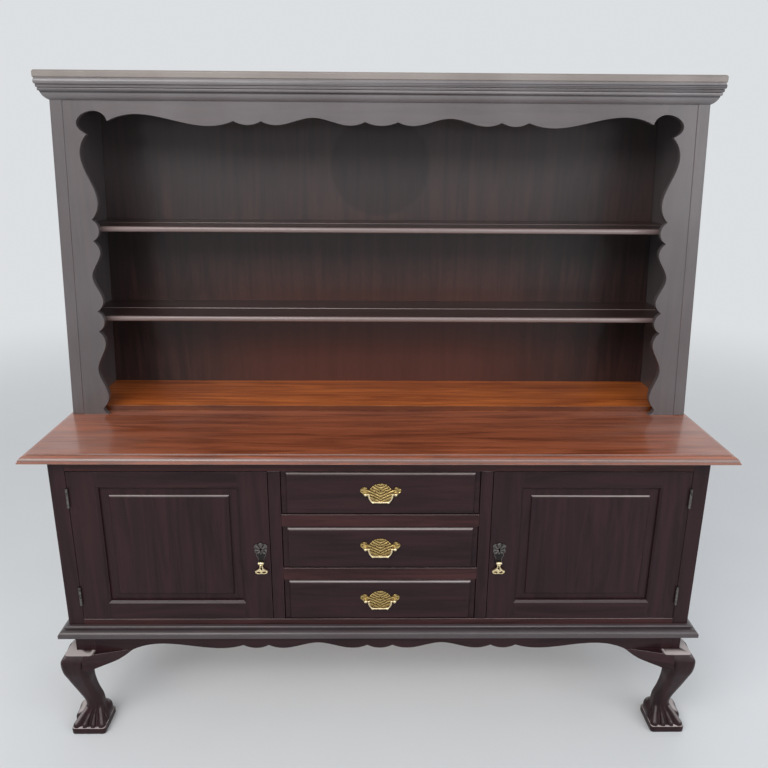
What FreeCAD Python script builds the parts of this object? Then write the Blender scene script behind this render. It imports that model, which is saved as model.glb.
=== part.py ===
import FreeCAD, Part
import math
import os

# Dresser with an open hutch, on four cabriole legs with paw feet.
# Millimetres: +X to the right, -Y to the front, +Z up, origin on the floor under the middle of the whole.

V = FreeCAD.Vector

# ------------------------------------------------------------------ counter top
counter_width = 1752.0
counter_depth = 580.0
counter_thickness = 20.0
counter_overhang = 50.0          # from the nose to the carcase, at the front and at each side
nose_reach = 18.0                # moulded nose beyond the edge of the flat top
nose_quirk = 3.0                 # width of the step at which the nose starts
nose_lip = 4.0                   # height of the step, and of the square edge under the nose

# ------------------------------------------------------------------ lower carcase
leg_height = 308.0               # from the floor to the underside of the carcase
bottom_rail_height = 44.0
drawer_opening_height = 120.0
drawer_rail_height = 34.0
top_rail_height = 40.0
drawer_opening_width = 504.0
outer_stile_width = 40.5
inner_stile_width = 30.5
face_thickness = 20.0
side_thickness = 20.0
partition_thickness = 18.0
floor_thickness = 18.0
back_panel_thickness = 10.0
cupboard_shelf_thickness = 16.0
cupboard_shelf_height = 208.0    # from the cupboard's floor to the underside of its shelf
cupboard_shelf_setback = 40.0    # behind the face frame
cleat_size = 20.0
runner_width = 25.0
runner_height = 20.0
waist_height = 28.0
waist_reach = 24.0
waist_bead_height = 10.0         # round bead at the top of the moulding
waist_nose_height = 8.0          # square nose at its foot

# ------------------------------------------------------------------ doors
door_gap = 1.5
door_thickness = 20.0
door_stile_width = 75.5
door_top_rail_height = 48.0
door_bottom_rail_height = 53.0
door_sticking = 6.0              # width of the bevel round the inside of the door's frame
door_sticking_depth = 4.5
panel_tongue_length = 8.0
panel_tongue_thickness = 6.0
panel_tongue_slack = 1.0         # spare depth at the bottom of the groove
panel_tongue_depth = 10.0        # face of the tongue behind the face of the door
panel_field_depth = 2.0          # raised field behind the face of the door
panel_step_depth = 9.0           # foot of the step round the field, behind the face of the door
panel_field_rounding = 5.5
panel_margin_side = 23.5         # from the frame to the step
panel_margin_end = 20.0

# ------------------------------------------------------------------ hinges
hinge_length = 53.0
hinge_inset = 71.0               # from the end of the door to the middle of the hinge
hinge_knuckle_radius = 3.5
hinge_leaf_thickness = 1.2
hinge_leaf_depth = 18.0
hinge_pin_radius = 1.5
running_gap = 0.3                # between pieces that move past each other

# ------------------------------------------------------------------ drawers
drawer_gap = 1.5
drawer_border_side = 13.0        # flat border beside the raised field
drawer_border_end = 3.0          # over and under the field
drawer_border_depth = 4.0        # border behind the face frame
drawer_field_rise = 10.0         # field in front of the border
drawer_field_rounding = 7.0
drawer_side_thickness = 12.0
drawer_side_clearance = 2.5
drawer_side_height = 100.0
drawer_bottom_thickness = 6.0
drawer_back_gap = 45.0           # behind the box of a closed drawer

# ------------------------------------------------------------------ bail pulls
post_spacing = 76.0
post_radius = 3.0
post_ball_radius = 4.6
post_rise = 4.0                  # posts above the middle of the drawer
plate_thickness = 2.0
plate_crown = 31.0               # top of the plate above the middle of the drawer
plate_foot = 20.0                # bottom of the plate below it
plate_foot_width = 34.0
plate_dome = (-11.0, 17.0)       # corners of the plate: outwards from the post, and up from its middle
plate_notch = (-3.0, 19.0)
plate_ear = (14.0, 12.0)
plate_ear_foot = (5.0, -2.0)
plate_waist = (-6.0, -6.0)
bail_standoff = 8.0              # from the plate to the middle of the bail
bail_rod_radius = 2.2
bail_pin_radius = 1.3
bail_drop = 21.5
bail_arm_inset = 8.5             # top of the arm inside the middle of the post
bail_bar_inset = 18.5            # end of the straight bar inside the middle of the post

# ------------------------------------------------------------------ escutcheons, drop pulls and locks
lock_height = 205.5              # middle of the escutcheon above the cupboard's floor
lock_inset = 24.0                # from the door's edge to the keyhole
escutcheon_thickness = 1.5
escutcheon_crown = (8.0, 20.0)   # corners of the plate: half width, above its middle
escutcheon_shoulder = (17.0, 16.0)
escutcheon_hip = (17.0, 3.0)
escutcheon_waist = (12.0, -10.0)
escutcheon_neck_fall = 27.0      # start of the lugs below the middle
keyhole_radius = 2.6
keyhole_rise = 5.0
keyhole_length = 8.0
drop_pivot_fall = 33.5           # pivot of the drop below the middle of the escutcheon
drop_standoff = 6.5              # pivot in front of the door
drop_barrel_radius = 4.5
drop_barrel_length = 13.0
drop_pin_radius = 1.5
drop_lug_thickness = 2.0
drop_lug_radius = 4.0
drop_length = 31.0
drop_half_width = 16.5
drop_neck_half_width = 4.5
drop_neck_length = 8.0
drop_foot_height = 9.0
drop_edge_height = 3.0           # straight ends of the foot
drop_thickness = 5.0
lock_case_size = 40.0
lock_case_depth = 10.0
lock_case_inset = 3.0            # from the door's edge to the case
lock_case_rise = 12.0            # top of the case above the middle of the bolt
bolt_length = 30.0
bolt_height = 12.0
bolt_thickness = 6.0
bolt_rise = 16.0                 # middle of the bolt above the middle of the escutcheon

# ------------------------------------------------------------------ aprons and legs
skirt_inset = 4.0                # front apron and leg blocks behind the face of the carcase
skirt_side_inset = 9.0           # side aprons and leg blocks inside the sides of the carcase
apron_thickness = 20.0
apron_lobe_depth = 50.0          # from the underside of the carcase to the lowest point of a lobe
apron_ear_height = 94.0          # from the underside of the carcase to the foot of an ear
ear_curve = ((101.0, 40.0), (61.0, 18.5), (28.0, 8.5), (0.0, 0.0))   # from the leg, rise over the foot
side_lobe_position = 334.0       # from the middle of the front to the lobe at each side
lobe_half_width = 34.0           # from the middle of a lobe to the cusps beside it
lobe_depth = 9.0                 # lobe below its cusps
dip_length = 44.0                # from a cusp to the dip beside it
wave_rise = 17.0                 # crest between two lobes above the dips
ear_shoulder = (211.0, 13.0)     # crest beside an ear: from the leg, rise over the lobes
leg_block_size = 50.0
leg_block_height = 55.0
back_leg_inset = 56.0            # block of the back leg in front of the back of the carcase
wing_thickness = 38.0            # where a bracket meets the leg
wing_tip_thickness = 6.0
wing_chamfer_width = 10.0        # along the top of a bracket
wing_chamfer_height = 19.0
foot_shift = 10.0                # middle of the foot outside the middle of the leg block
foot_pad_size = 92.0
foot_pad_height = 20.0
foot_corner_radius = 8.0
ankle_height = 62.0
ankle_shift = 1.0                # middle of the ankle outside the middle of the leg block
ankle_half_width = 23.5
ankle_corner_radius = 19.0
toe_count = 4
toe_radius = 11.0
toe_spread = 66.0                # between the tips of the outer toes
toe_setback = 13.0               # middle of a toe's tip behind the front of the pad
toe_rise = 1.5                   # middle of a toe's tip over the pad
heel_radius = 20.0
heel_height = 36.0
heel_spread = 45.0               # between the middles of the two halves of the heel

# ------------------------------------------------------------------ hutch
hutch_height = 884.0             # from the counter to the top of the cornice
hutch_setback = 301.0            # front of the hutch behind the counter's nose
hutch_foot_inset = 23.0          # outside of the hutch from the end of the counter
hutch_taper = 41.0               # lean of each side, from its foot to the top board
hutch_side_thickness = 30.0
front_board_thickness = 18.0
front_board_setback = 1.5        # behind the front edges of the sides
head_width = 104.0               # board over the opening, from the top board to its lobes
head_wave_rise = 18.0
head_dip_length = 36.0           # from a cusp to the dip beside it
head_centre_half_width = 41.0    # half of the middle lobe
head_end_dip = 100.0             # from the outer cusp to the dip towards the scroll
head_shoulder = (100.0, 22.0)     # crest beside the scroll: from the scroll's tip, rise over the lobes
stile_joint_width = 104.0        # from the slanted outside to the joint with the board over the opening
scallop_lobe_width = 101.0       # widths of the scalloped stile, from the slanted outside
scallop_cusp_width = 84.5
scallop_valley_width = 77.0
scallop_cusp_offset = 27.0       # heights from the middle of a shelf
scallop_lobe_offset = 57.0
scallop_foot_height = 17.0       # first cusp above the counter
scallop_foot_lobe_height = 53.0
scallop_top_lobe_offset = 82.0
scallop_top_valley_width = 70.0
scallop_top_valley_fall = 75.0   # below the notch
notch_fall = 128.0               # corner under the scroll at the top of the stile, below the top board
scroll_curve = ((62.0, 32.0), (84.0, 51.0), (137.0, 31.0))   # width from the outside, rise over the notch
hutch_shelf_thickness = 16.0
shelf_levels = (270.0, 510.0)    # tops of the shelves above the counter
shelf_setback = 40.0
hutch_floor_thickness = 16.0
hutch_floor_setback = 30.0
plate_groove_distance = 115.0    # from the back panel
plate_groove_width = 8.0
plate_groove_depth = 3.0
top_board_thickness = 18.0
top_board_rounding = 6.0
top_board_under_rounding = 3.0
cornice_height = 49.0
cornice_reach = 25.0
cornice_groove_height = 2.0
cornice_groove_depth = 2.0
cornice_bead_height = 12.0
cornice_reed_height = 7.5
cornice_reed_count = 2
cornice_step = 2.5               # each member inside the one above

# ------------------------------------------------------------------ places worked out from the sizes
front = -counter_depth / 2
back = counter_depth / 2
carcase_half = counter_width / 2 - counter_overhang
face = front + counter_overhang
frame_back = face + face_thickness
inside_back = back - back_panel_thickness
inside_half = carcase_half - side_thickness
floor_top = leg_height + bottom_rail_height
drawer_names = ("bottom", "middle", "top")
drawer_floors = [floor_top + i * (drawer_opening_height + drawer_rail_height) for i in range(3)]
openings_top = drawer_floors[-1] + drawer_opening_height
carcase_top = openings_top + top_rail_height
counter_top = carcase_top + counter_thickness
opening_half = drawer_opening_width / 2
door_inner = opening_half + inner_stile_width + door_gap
door_outer = carcase_half - outer_stile_width - door_gap
door_bottom = floor_top + door_gap
door_top = openings_top - door_gap
door_back = face + door_thickness
hinge_x = door_outer + door_gap / 2
hinge_y = face - hinge_knuckle_radius - running_gap
hinge_heights = (door_bottom + hinge_inset, door_top - hinge_inset)
lock_x = door_inner + lock_inset
lock_z = floor_top + lock_height
drop_y = face - drop_standoff
drop_z = lock_z - drop_pivot_fall
skirt_half = carcase_half - skirt_side_inset
skirt_front = face + skirt_inset
skirt_back = back - back_leg_inset
apron_half = skirt_half - leg_block_size
knee_top = leg_height - leg_block_height
hutch_front = front + hutch_setback
hutch_case_top = counter_top + hutch_height - top_board_thickness
shelf_tops = [counter_top + level for level in shelf_levels]
block_x = skirt_half - leg_block_size / 2
block_y = skirt_front + leg_block_size / 2


# ------------------------------------------------------------------ outlines and solids
def box(x0, x1, y0, y1, z0, z1):
    return Part.makeBox(x1 - x0, y1 - y0, z1 - z0, V(x0, y0, z0))


def straight(*points):
    """Runs of two points each, joined end to end."""
    return [list(pair) for pair in zip(points, points[1:])]


def arc(start, end, bow):
    """A run of three points: bow is the rise to the left of the chord, as a share of the chord."""
    along = end[0] - start[0]
    across = end[1] - start[1]
    middle = ((start[0] + end[0]) / 2 - bow * across, (start[1] + end[1]) / 2 + bow * along)
    return [start, middle, end]


def mirrored(runs):
    """The same runs on the other side of the middle, in reverse, for an outline to go on along them."""
    return [[(-a, b) for a, b in reversed(run)] for run in reversed(runs)]


def wave(start, end, base, dip, rise):
    """A run between two cusps at one height: a dip to the base beside each, and a crest midway."""
    way = math.copysign(dip, end[0] - start[0])
    crest = ((start[0] + end[0]) / 2, base + rise)
    return [start, (start[0] + way, base), crest, (end[0] - way, base), end]


def run_edge(points):
    """Two points make a line, three an arc, more a smooth curve."""
    if len(points) == 2:
        return Part.makeLine(*points)
    if len(points) == 3:
        return Part.Arc(*points).toShape()
    curve = Part.BSplineCurve()
    curve.interpolate(points)
    return curve.toShape()


def prism(runs, place, depth):
    """Extrudes the closed outline; place turns its two coordinates into a point."""
    edges = [run_edge([place(a, b) for a, b in run]) for run in runs]
    return Part.Face(Part.Wire(edges)).extrude(depth)


def prism_y(runs, y0, y1):
    return prism(runs, lambda x, z: V(x, y0, z), V(0, y1 - y0, 0))


def prism_x(runs, x0, x1):
    return prism(runs, lambda y, z: V(x0, y, z), V(x1 - x0, 0, 0))


def mirror_x(shape):
    return shape.mirror(V(0, 0, 0), V(1, 0, 0))


def rod(start, end, radius):
    way = end.sub(start)
    return Part.makeCylinder(radius, way.Length, start, way)


def ball(centre, radius, axis=V(0, 0, 1)):
    return Part.makeSphere(radius, centre, axis)


def finger(start, tip, radius):
    """A rod with a slightly larger ball at its tip."""
    return rod(start, tip, radius - 1).fuse(ball(tip, radius, tip.sub(start)))


def fused(pieces):
    whole = pieces[0]
    for piece in pieces[1:]:
        whole = whole.fuse(piece)
    return whole.removeSplitter()


def write(name, *shapes):
    """Writes one node; each solid in it stays a separate piece."""
    solids = [solid for shape in shapes for solid in shape.Solids]
    node = solids[0] if len(solids) == 1 else Part.makeCompound(solids)
    node.exportStep(f"parts/{name}.step")


def write_pair(name, shape):
    """Writes a piece of the right side, and its mirror image for the left."""
    write(f"{name}_right", shape)
    write(f"{name}_left", mirror_x(shape))


def moulded_slab(profile, half_width, edge_y):
    """A slab up to the back, with the profile's (reach, height) runs along its front and both ends."""
    first = profile[0][0]
    last = profile[-1][-1]
    reach = 2 * max(out for run in profile for out, _ in run)
    section = [[(edge_y - out, z) for out, z in run] for run in profile]
    section += straight((edge_y - last[0], last[1]), (back, last[1]), (back, first[1]),
                        (edge_y - first[0], first[1]))
    along = prism_x(section, -half_width - reach, half_width + reach)
    right = [[(half_width + out, z) for out, z in run] for run in profile]
    left = mirrored(right)
    ring = right + straight(right[-1][-1], left[0][0]) + left + straight(left[-1][-1], right[0][0])
    return along.common(prism_y(ring, edge_y - reach, back))


def mitred(moulding, half_width, edge_y, depth, z0, z1):
    """Splits a moulding round three sides into a front piece and two returns."""
    outer = 2 * depth
    plan = straight((-half_width - outer, edge_y - outer), (half_width + outer, edge_y - outer),
                    (half_width - depth, edge_y + depth), (depth - half_width, edge_y + depth),
                    (-half_width - outer, edge_y - outer))
    front_zone = prism(plan, lambda x, y: V(x, y, z0), V(0, 0, z1 - z0))
    returns = moulding.cut(front_zone)
    return [moulding.common(front_zone)] + returns.Solids


# ------------------------------------------------------------------ counter and carcase
def counter():
    half = counter_width / 2 - nose_reach
    nose_top = counter_top - nose_lip
    nose_end = (nose_reach - nose_lip / 2, carcase_top + nose_lip)
    profile = [arc((-nose_lip / 2, counter_top), (0, counter_top - nose_lip / 2), 0.2)]
    profile += straight((0, counter_top - nose_lip / 2), (0, nose_top), (nose_quirk, nose_top))
    profile += [arc((nose_quirk, nose_top), nose_end, 0.2)]
    profile += straight(nose_end, (nose_reach, nose_end[1] - nose_lip / 4), (nose_reach, carcase_top))
    write("counter_top", moulded_slab(profile, half, front + nose_reach))


def carcase_boards():
    side = box(inside_half, carcase_half, frame_back, back, leg_height, carcase_top)
    write_pair("base_side", side)
    write("base_back_panel", box(-inside_half, inside_half, inside_back, back, leg_height, carcase_top))
    write("base_bottom_board", box(-inside_half, inside_half, frame_back, inside_back,
                                   floor_top - floor_thickness, floor_top))
    write_pair("partition", box(opening_half, opening_half + partition_thickness, frame_back, inside_back,
                                floor_top, carcase_top))


def face_frame(leaf_seats):
    opening_edge = carcase_half - outer_stile_width
    outer = box(opening_edge, carcase_half, face, frame_back, leg_height, carcase_top).cut(leaf_seats)
    inner = box(opening_half, opening_half + inner_stile_width, face, frame_back, floor_top, openings_top)
    write("face_stiles", outer, inner, mirror_x(outer), mirror_x(inner))
    rails = [box(-opening_edge, opening_edge, face, frame_back, openings_top, carcase_top),
             box(-opening_edge, opening_edge, face, frame_back, leg_height, floor_top)]
    for drawer_floor in drawer_floors[1:]:
        rails.append(box(-opening_half, opening_half, face, frame_back,
                         drawer_floor - drawer_rail_height, drawer_floor))
    write("face_rails", *rails)


def inside_fittings():
    runners = []
    for drawer_floor in drawer_floors[1:]:
        runner = box(opening_half - runner_width, opening_half, frame_back, inside_back,
                     drawer_floor - runner_height, drawer_floor)
        runners += [runner, mirror_x(runner)]
    write("drawer_runners", *runners)
    inner = opening_half + partition_thickness
    underside = floor_top + cupboard_shelf_height
    shelf_front = frame_back + cupboard_shelf_setback
    shelf = box(inner, inside_half, shelf_front, inside_back, underside, underside + cupboard_shelf_thickness)
    write("cupboard_shelves", shelf, mirror_x(shelf))
    cleats = []
    for x0 in (inner, inside_half - cleat_size):
        cleat = box(x0, x0 + cleat_size, shelf_front, inside_back, underside - cleat_size, underside)
        cleats += [cleat, mirror_x(cleat)]
    write("shelf_cleats", *cleats)


def waist():
    """Moulding round the foot of the carcase: a bead over an ovolo and a square nose."""
    top = leg_height + waist_height
    bead = waist_bead_height / 2
    shoulder = top - waist_bead_height
    nose = leg_height + waist_nose_height
    profile = straight((0, top), (bead, top))
    profile += [arc((bead, top), (bead, shoulder), 0.5)]
    profile += straight((bead, shoulder), (2 * bead, shoulder))
    profile += [arc((2 * bead, shoulder), (waist_reach, nose), 0.2)]
    profile += straight((waist_reach, nose), (waist_reach, leg_height))
    slab = moulded_slab(profile, carcase_half, face)
    ring = slab.cut(box(-carcase_half, carcase_half, face, back, leg_height, top))
    write("waist_moulding", *mitred(ring, carcase_half, face, waist_reach, leg_height, top))


# ------------------------------------------------------------------ aprons and legs
def ear(run_end):
    """The drop of an apron's outline towards a leg block, which ends at run_end."""
    foot = leg_height - apron_ear_height
    return [(run_end - away, foot + rise) for away, rise in ear_curve]


def apron_outline(right, ear_run):
    """Closes an apron's outline from its right half: the middle lobe and the mirror image are added."""
    start = right[0][0]
    low = leg_height - apron_lobe_depth
    end = ear_run[-1]
    runs = mirrored(right + [ear_run]) + [[(-start[0], start[1]), (0, low), start]] + right + [ear_run]
    return runs + straight(end, (end[0], leg_height), (-end[0], leg_height), (-end[0], end[1]))


def front_apron():
    """A lobe in the middle and one at each side, with waves between them and an ear at each leg."""
    low = leg_height - apron_lobe_depth
    cusp = low + lobe_depth
    inner = side_lobe_position - lobe_half_width
    outer = side_lobe_position + lobe_half_width
    ear_run = ear(apron_half)
    right = [wave((lobe_half_width, cusp), (inner, cusp), low, dip_length, wave_rise),
             [(inner, cusp), (side_lobe_position, low), (outer, cusp)],
             [(outer, cusp), (outer + dip_length, low),
              (apron_half - ear_shoulder[0], low + ear_shoulder[1]), ear_run[0]]]
    outline = apron_outline(right, ear_run)
    write("apron_front", prism_y(outline, skirt_front, skirt_front + apron_thickness))


def side_apron():
    """Between the blocks of the legs on the right; its outline has one lobe in the middle."""
    middle_y = (skirt_front + skirt_back) / 2
    half = (skirt_back - skirt_front) / 2 - leg_block_size
    cusp = (lobe_half_width, leg_height - apron_lobe_depth + lobe_depth)
    ear_run = ear(half)
    shoulder = ((cusp[0] + ear_run[0][0]) / 2, cusp[1])
    outline = apron_outline([[cusp, shoulder, ear_run[0]]], ear_run)
    placed = [[(middle_y + y, z) for y, z in run] for run in outline]
    return prism_x(placed, skirt_half - apron_thickness, skirt_half)


def rounded_square(centre, half, corner, z):
    """A square wire with round corners, centred at (x, y)."""
    edges = []
    flat = half - corner
    for quarter in range(4):
        turn = math.pi / 2 * quarter
        swing = [turn, turn + math.pi / 4, turn + math.pi / 2]
        side_x = math.copysign(flat, math.cos(swing[1]))
        side_y = math.copysign(flat, math.sin(swing[1]))
        points = [V(centre[0] + side_x + corner * math.cos(angle),
                    centre[1] + side_y + corner * math.sin(angle), z) for angle in swing]
        if edges:
            edges.append(Part.makeLine(edges[-1].lastVertex().Point, points[0]))
        edges.append(Part.Arc(*points).toShape())
    edges.append(Part.makeLine(edges[-1].lastVertex().Point, edges[0].firstVertex().Point))
    return Part.Wire(edges)


# Each row: height over the floor as a share of the height under the block, shift of the middle to the
# outside, half width and corner radius.
knee_and_shin = ((1.00, 12.0, 38.0, 10.0),
                 (0.92, 31.0, 31.0, 12.0),
                 (0.80, 29.0, 31.0, 15.0),
                 (0.70, 23.5, 30.0, 17.0),
                 (0.60, 19.0, 27.0, 17.0),
                 (0.46, 11.0, 24.0, 17.0),
                 (0.34, 3.5, 23.5, 18.5))


def outwards(shift):
    """The middle of the leg's block moved by the shift to the right and to the front."""
    return block_x + shift, block_y - shift


def ankle_section():
    return rounded_square(outwards(ankle_shift), ankle_half_width, ankle_corner_radius, ankle_height)


def paw():
    """A flat pad, an ankle that flares down to it, ridges for the toes along its front and a heel behind."""
    foot_x, foot_y = outwards(foot_shift)
    ankle_x, ankle_y = outwards(ankle_shift)
    half = foot_pad_size / 2
    sole = rounded_square((foot_x, foot_y), half, foot_corner_radius, 0)
    pad = Part.Face(sole).extrude(V(0, 0, foot_pad_height))
    flare_foot = rounded_square((foot_x, foot_y), half - toe_radius / 2, foot_corner_radius, foot_pad_height)
    flare = Part.makeLoft([ankle_section(), flare_foot], True, True)
    pieces = [pad, flare]
    for index in range(toe_count):
        aside = (index / (toe_count - 1) - 0.5) * toe_spread
        root = V(ankle_x + aside / 3, ankle_y - toe_radius, ankle_height)
        tip = V(foot_x + aside, foot_y - half + toe_setback, foot_pad_height + toe_rise)
        pieces.append(finger(root, tip, toe_radius))
    for aside in (-heel_spread / 2, heel_spread / 2):
        heel = V(foot_x + aside, foot_y + half - heel_radius, heel_height)
        pieces.append(finger(V(ankle_x, ankle_y, ankle_height), heel, heel_radius))
    return pieces


def cabriole_leg():
    """The right front leg: block, knee, shin and paw."""
    sections = [rounded_square(outwards(shift), half, corner, share * knee_top)
                for share, shift, half, corner in knee_and_shin]
    knee = Part.makeLoft(sections[:2], True, True)
    shaft = knee.fuse(Part.makeLoft(sections[1:] + [ankle_section()], True, False))
    ear_foot = leg_height - apron_ear_height
    for room in (box(0, apron_half, skirt_front, skirt_front + apron_thickness, ear_foot, leg_height),
                 box(skirt_half - apron_thickness, skirt_half, skirt_front + leg_block_size, 0,
                     ear_foot, leg_height)):
        shaft = shaft.cut(room)
    block = box(skirt_half - leg_block_size, skirt_half, skirt_front, skirt_front + leg_block_size,
                knee_top, leg_height)
    return fused([fused(paw()), fused([shaft, block])])


def knee_wing(place, way_out):
    """A bracket over the ear of an apron, thinner and chamfered towards its tip.

    Place turns (distance from the end of the block, height) into a point, and way_out is a unit vector.
    """
    reach = leg_block_size / 2
    edge = [(leg_block_size + away, z) for (away, _), (_, z) in zip(ear_curve, ear(0))]
    outline = straight((reach, leg_height), (edge[0][0], leg_height), edge[0]) + [edge]
    outline += straight(edge[-1], (reach, edge[-1][1]), (reach, leg_height))
    wing = prism(outline, place, way_out * wing_thickness)
    foot = edge[-1][1]
    cut = [(wing_thickness, foot), (wing_thickness, knee_top - wing_chamfer_height),
           (wing_thickness - wing_chamfer_width, knee_top), (wing_thickness - wing_chamfer_width, leg_height),
           (2 * wing_thickness, leg_height), (2 * wing_thickness, foot)]
    taper = Part.Face(Part.makePolygon([place(reach, z) + way_out * out for out, z in cut + cut[:1]]))
    lean = place(edge[0][0], foot) - place(reach, foot) - way_out * (wing_thickness - wing_tip_thickness)
    wing = wing.cut(taper.extrude(lean))
    room = wing.BoundBox
    return wing.common(box(room.XMin, room.XMax, room.YMin, room.YMax, room.ZMin, knee_top))


def legs_and_wings():
    leg = cabriole_leg()
    middle_y = (skirt_front + skirt_back) / 2
    back_leg = leg.mirror(V(0, middle_y, 0), V(0, 1, 0))
    front_wing = knee_wing(lambda u, z: V(skirt_half - u, skirt_front, z), V(0, -1, 0))
    side_wing = knee_wing(lambda u, z: V(skirt_half, skirt_front + u, z), V(1, 0, 0))
    back_wing = knee_wing(lambda u, z: V(skirt_half, skirt_back - u, z), V(1, 0, 0))
    wings = [front_wing.cut(leg), side_wing.cut(leg), back_wing.cut(back_leg)]
    write_pair("leg_front", leg)
    write_pair("leg_back", back_leg)
    write("knee_brackets", *wings, *[mirror_x(wing) for wing in wings])
    apron = side_apron()
    write("aprons_side", apron, mirror_x(apron))
    write("back_rail", box(-apron_half, apron_half, skirt_back - apron_thickness, skirt_back,
                           knee_top, leg_height))


# ------------------------------------------------------------------ doors
def door_leaf(x, z, from_y, thickness):
    """A flat hinge leaf; x is its face next to the gap, and thickness is towards its own piece."""
    x0, x1 = sorted((x, x + thickness))
    return box(x0, x1, from_y, face + hinge_leaf_depth, z - hinge_length / 2, z + hinge_length / 2)


def hinge_knuckle(leaf_x, leaf_thickness, z0, z1):
    """A stretch of barrel with the neck that joins it to its leaf."""
    barrel = Part.makeCylinder(hinge_knuckle_radius, z1 - z0, V(hinge_x, hinge_y, z0))
    x0, x1 = sorted((leaf_x, leaf_x + leaf_thickness))
    return fused([barrel, box(x0, x1, hinge_y, face + running_gap, z0, z1)])


def hinges():
    """Returns the leaves of the door, the leaves of the carcase, and the seats that both are let into."""
    fixed_x = door_outer + door_gap
    third = hinge_length / 3
    door_leaves = []
    fixed_leaves = []
    door_seats = []
    fixed_seats = []
    for z in hinge_heights:
        low = z - hinge_length / 2
        door_plate = door_leaf(door_outer, z, face, -hinge_leaf_thickness)
        fixed_plate = door_leaf(fixed_x, z, face, hinge_leaf_thickness)
        door_seats.append(door_plate)
        fixed_seats.append(fixed_plate)
        middle = hinge_knuckle(door_outer, -hinge_leaf_thickness, low + third, low + 2 * third)
        pin_hole = Part.makeCylinder(hinge_pin_radius + running_gap, hinge_length, V(hinge_x, hinge_y, low))
        door_leaves.append(fused([door_plate, middle]).cut(pin_hole))
        pin = Part.makeCylinder(hinge_pin_radius, hinge_length, V(hinge_x, hinge_y, low))
        ends = [hinge_knuckle(fixed_x, hinge_leaf_thickness, z0, z1) for z0, z1 in (
            (low, low + third - running_gap), (low + 2 * third + running_gap, low + hinge_length))]
        fixed_leaves.append(fused([fixed_plate, pin] + ends))
    return door_leaves, fixed_leaves, Part.makeCompound(door_seats), Part.makeCompound(fixed_seats)


def rectangle(x0, x1, z0, z1, y):
    return Part.makePolygon([V(x0, y, z0), V(x1, y, z0), V(x1, y, z1), V(x0, y, z1), V(x0, y, z0)])


def door_frame(leaf_seats, keyhole):
    sight = (door_inner + door_stile_width, door_outer - door_stile_width,
             door_bottom + door_bottom_rail_height, door_top - door_top_rail_height)
    groove = panel_tongue_length + panel_tongue_slack
    tongue_front = face + panel_tongue_depth
    whole = box(door_inner, door_outer, face, door_back, door_bottom, door_top)
    through = box(sight[0], sight[1], face, door_back, sight[2], sight[3])
    slot = box(sight[0] - groove, sight[1] + groove, tongue_front, tongue_front + panel_tongue_thickness,
               sight[2] - groove, sight[3] + groove)
    bevel = Part.makeLoft([rectangle(sight[0] - door_sticking, sight[1] + door_sticking,
                                     sight[2] - door_sticking, sight[3] + door_sticking, face),
                           rectangle(*sight, face + door_sticking_depth)], True, True)
    ring = whole.cut(through).cut(slot).cut(bevel).cut(leaf_seats).cut(keyhole)
    stile_zones = [box(door_inner, sight[0], face, door_back, door_bottom, door_top),
                   box(sight[1], door_outer, face, door_back, door_bottom, door_top)]
    rail_zones = [box(sight[0], sight[1], face, door_back, door_bottom, sight[2]),
                  box(sight[0], sight[1], face, door_back, sight[3], door_top)]
    write_pair("door_frame", Part.makeCompound([ring.common(zone) for zone in stile_zones + rail_zones]))
    return sight


def raised_field(field, front, foot, rounding):
    """A slab with round edges along its front; field holds its sides, its bottom and its top."""
    slab = box(field[0], field[1], front, foot, field[2], field[3])
    middle = (front + foot) / 2
    return slab.makeFillet(rounding, [edge for edge in slab.Edges if edge.BoundBox.YMax < middle])


def door_panel(sight):
    """A panel held by its tongue: a margin slopes up from the frame to a raised field with rounded edges."""
    x0, x1, z0, z1 = sight
    tongue_front = face + panel_tongue_depth
    step_foot = face + panel_step_depth
    field_front = face + panel_field_depth
    field = (x0 + panel_margin_side, x1 - panel_margin_side, z0 + panel_margin_end, z1 - panel_margin_end)
    grip = panel_tongue_length
    tongue = box(x0 - grip, x1 + grip, tongue_front, tongue_front + panel_tongue_thickness,
                 z0 - grip, z1 + grip)
    margin = Part.makeLoft([rectangle(*sight, tongue_front), rectangle(*field, step_foot)], True, True)
    raised = raised_field(field, field_front, step_foot, panel_field_rounding)
    write_pair("door_panel", fused([tongue, margin, raised]))


def keyhole_prism(y0, y1):
    z = lock_z + keyhole_rise
    round_part = Part.makeCylinder(keyhole_radius, y1 - y0, V(lock_x, y0, z), V(0, 1, 0))
    slot = box(lock_x - keyhole_radius / 2, lock_x + keyhole_radius / 2, y0, y1, z - keyhole_length, z)
    return fused([round_part, slot])


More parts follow.
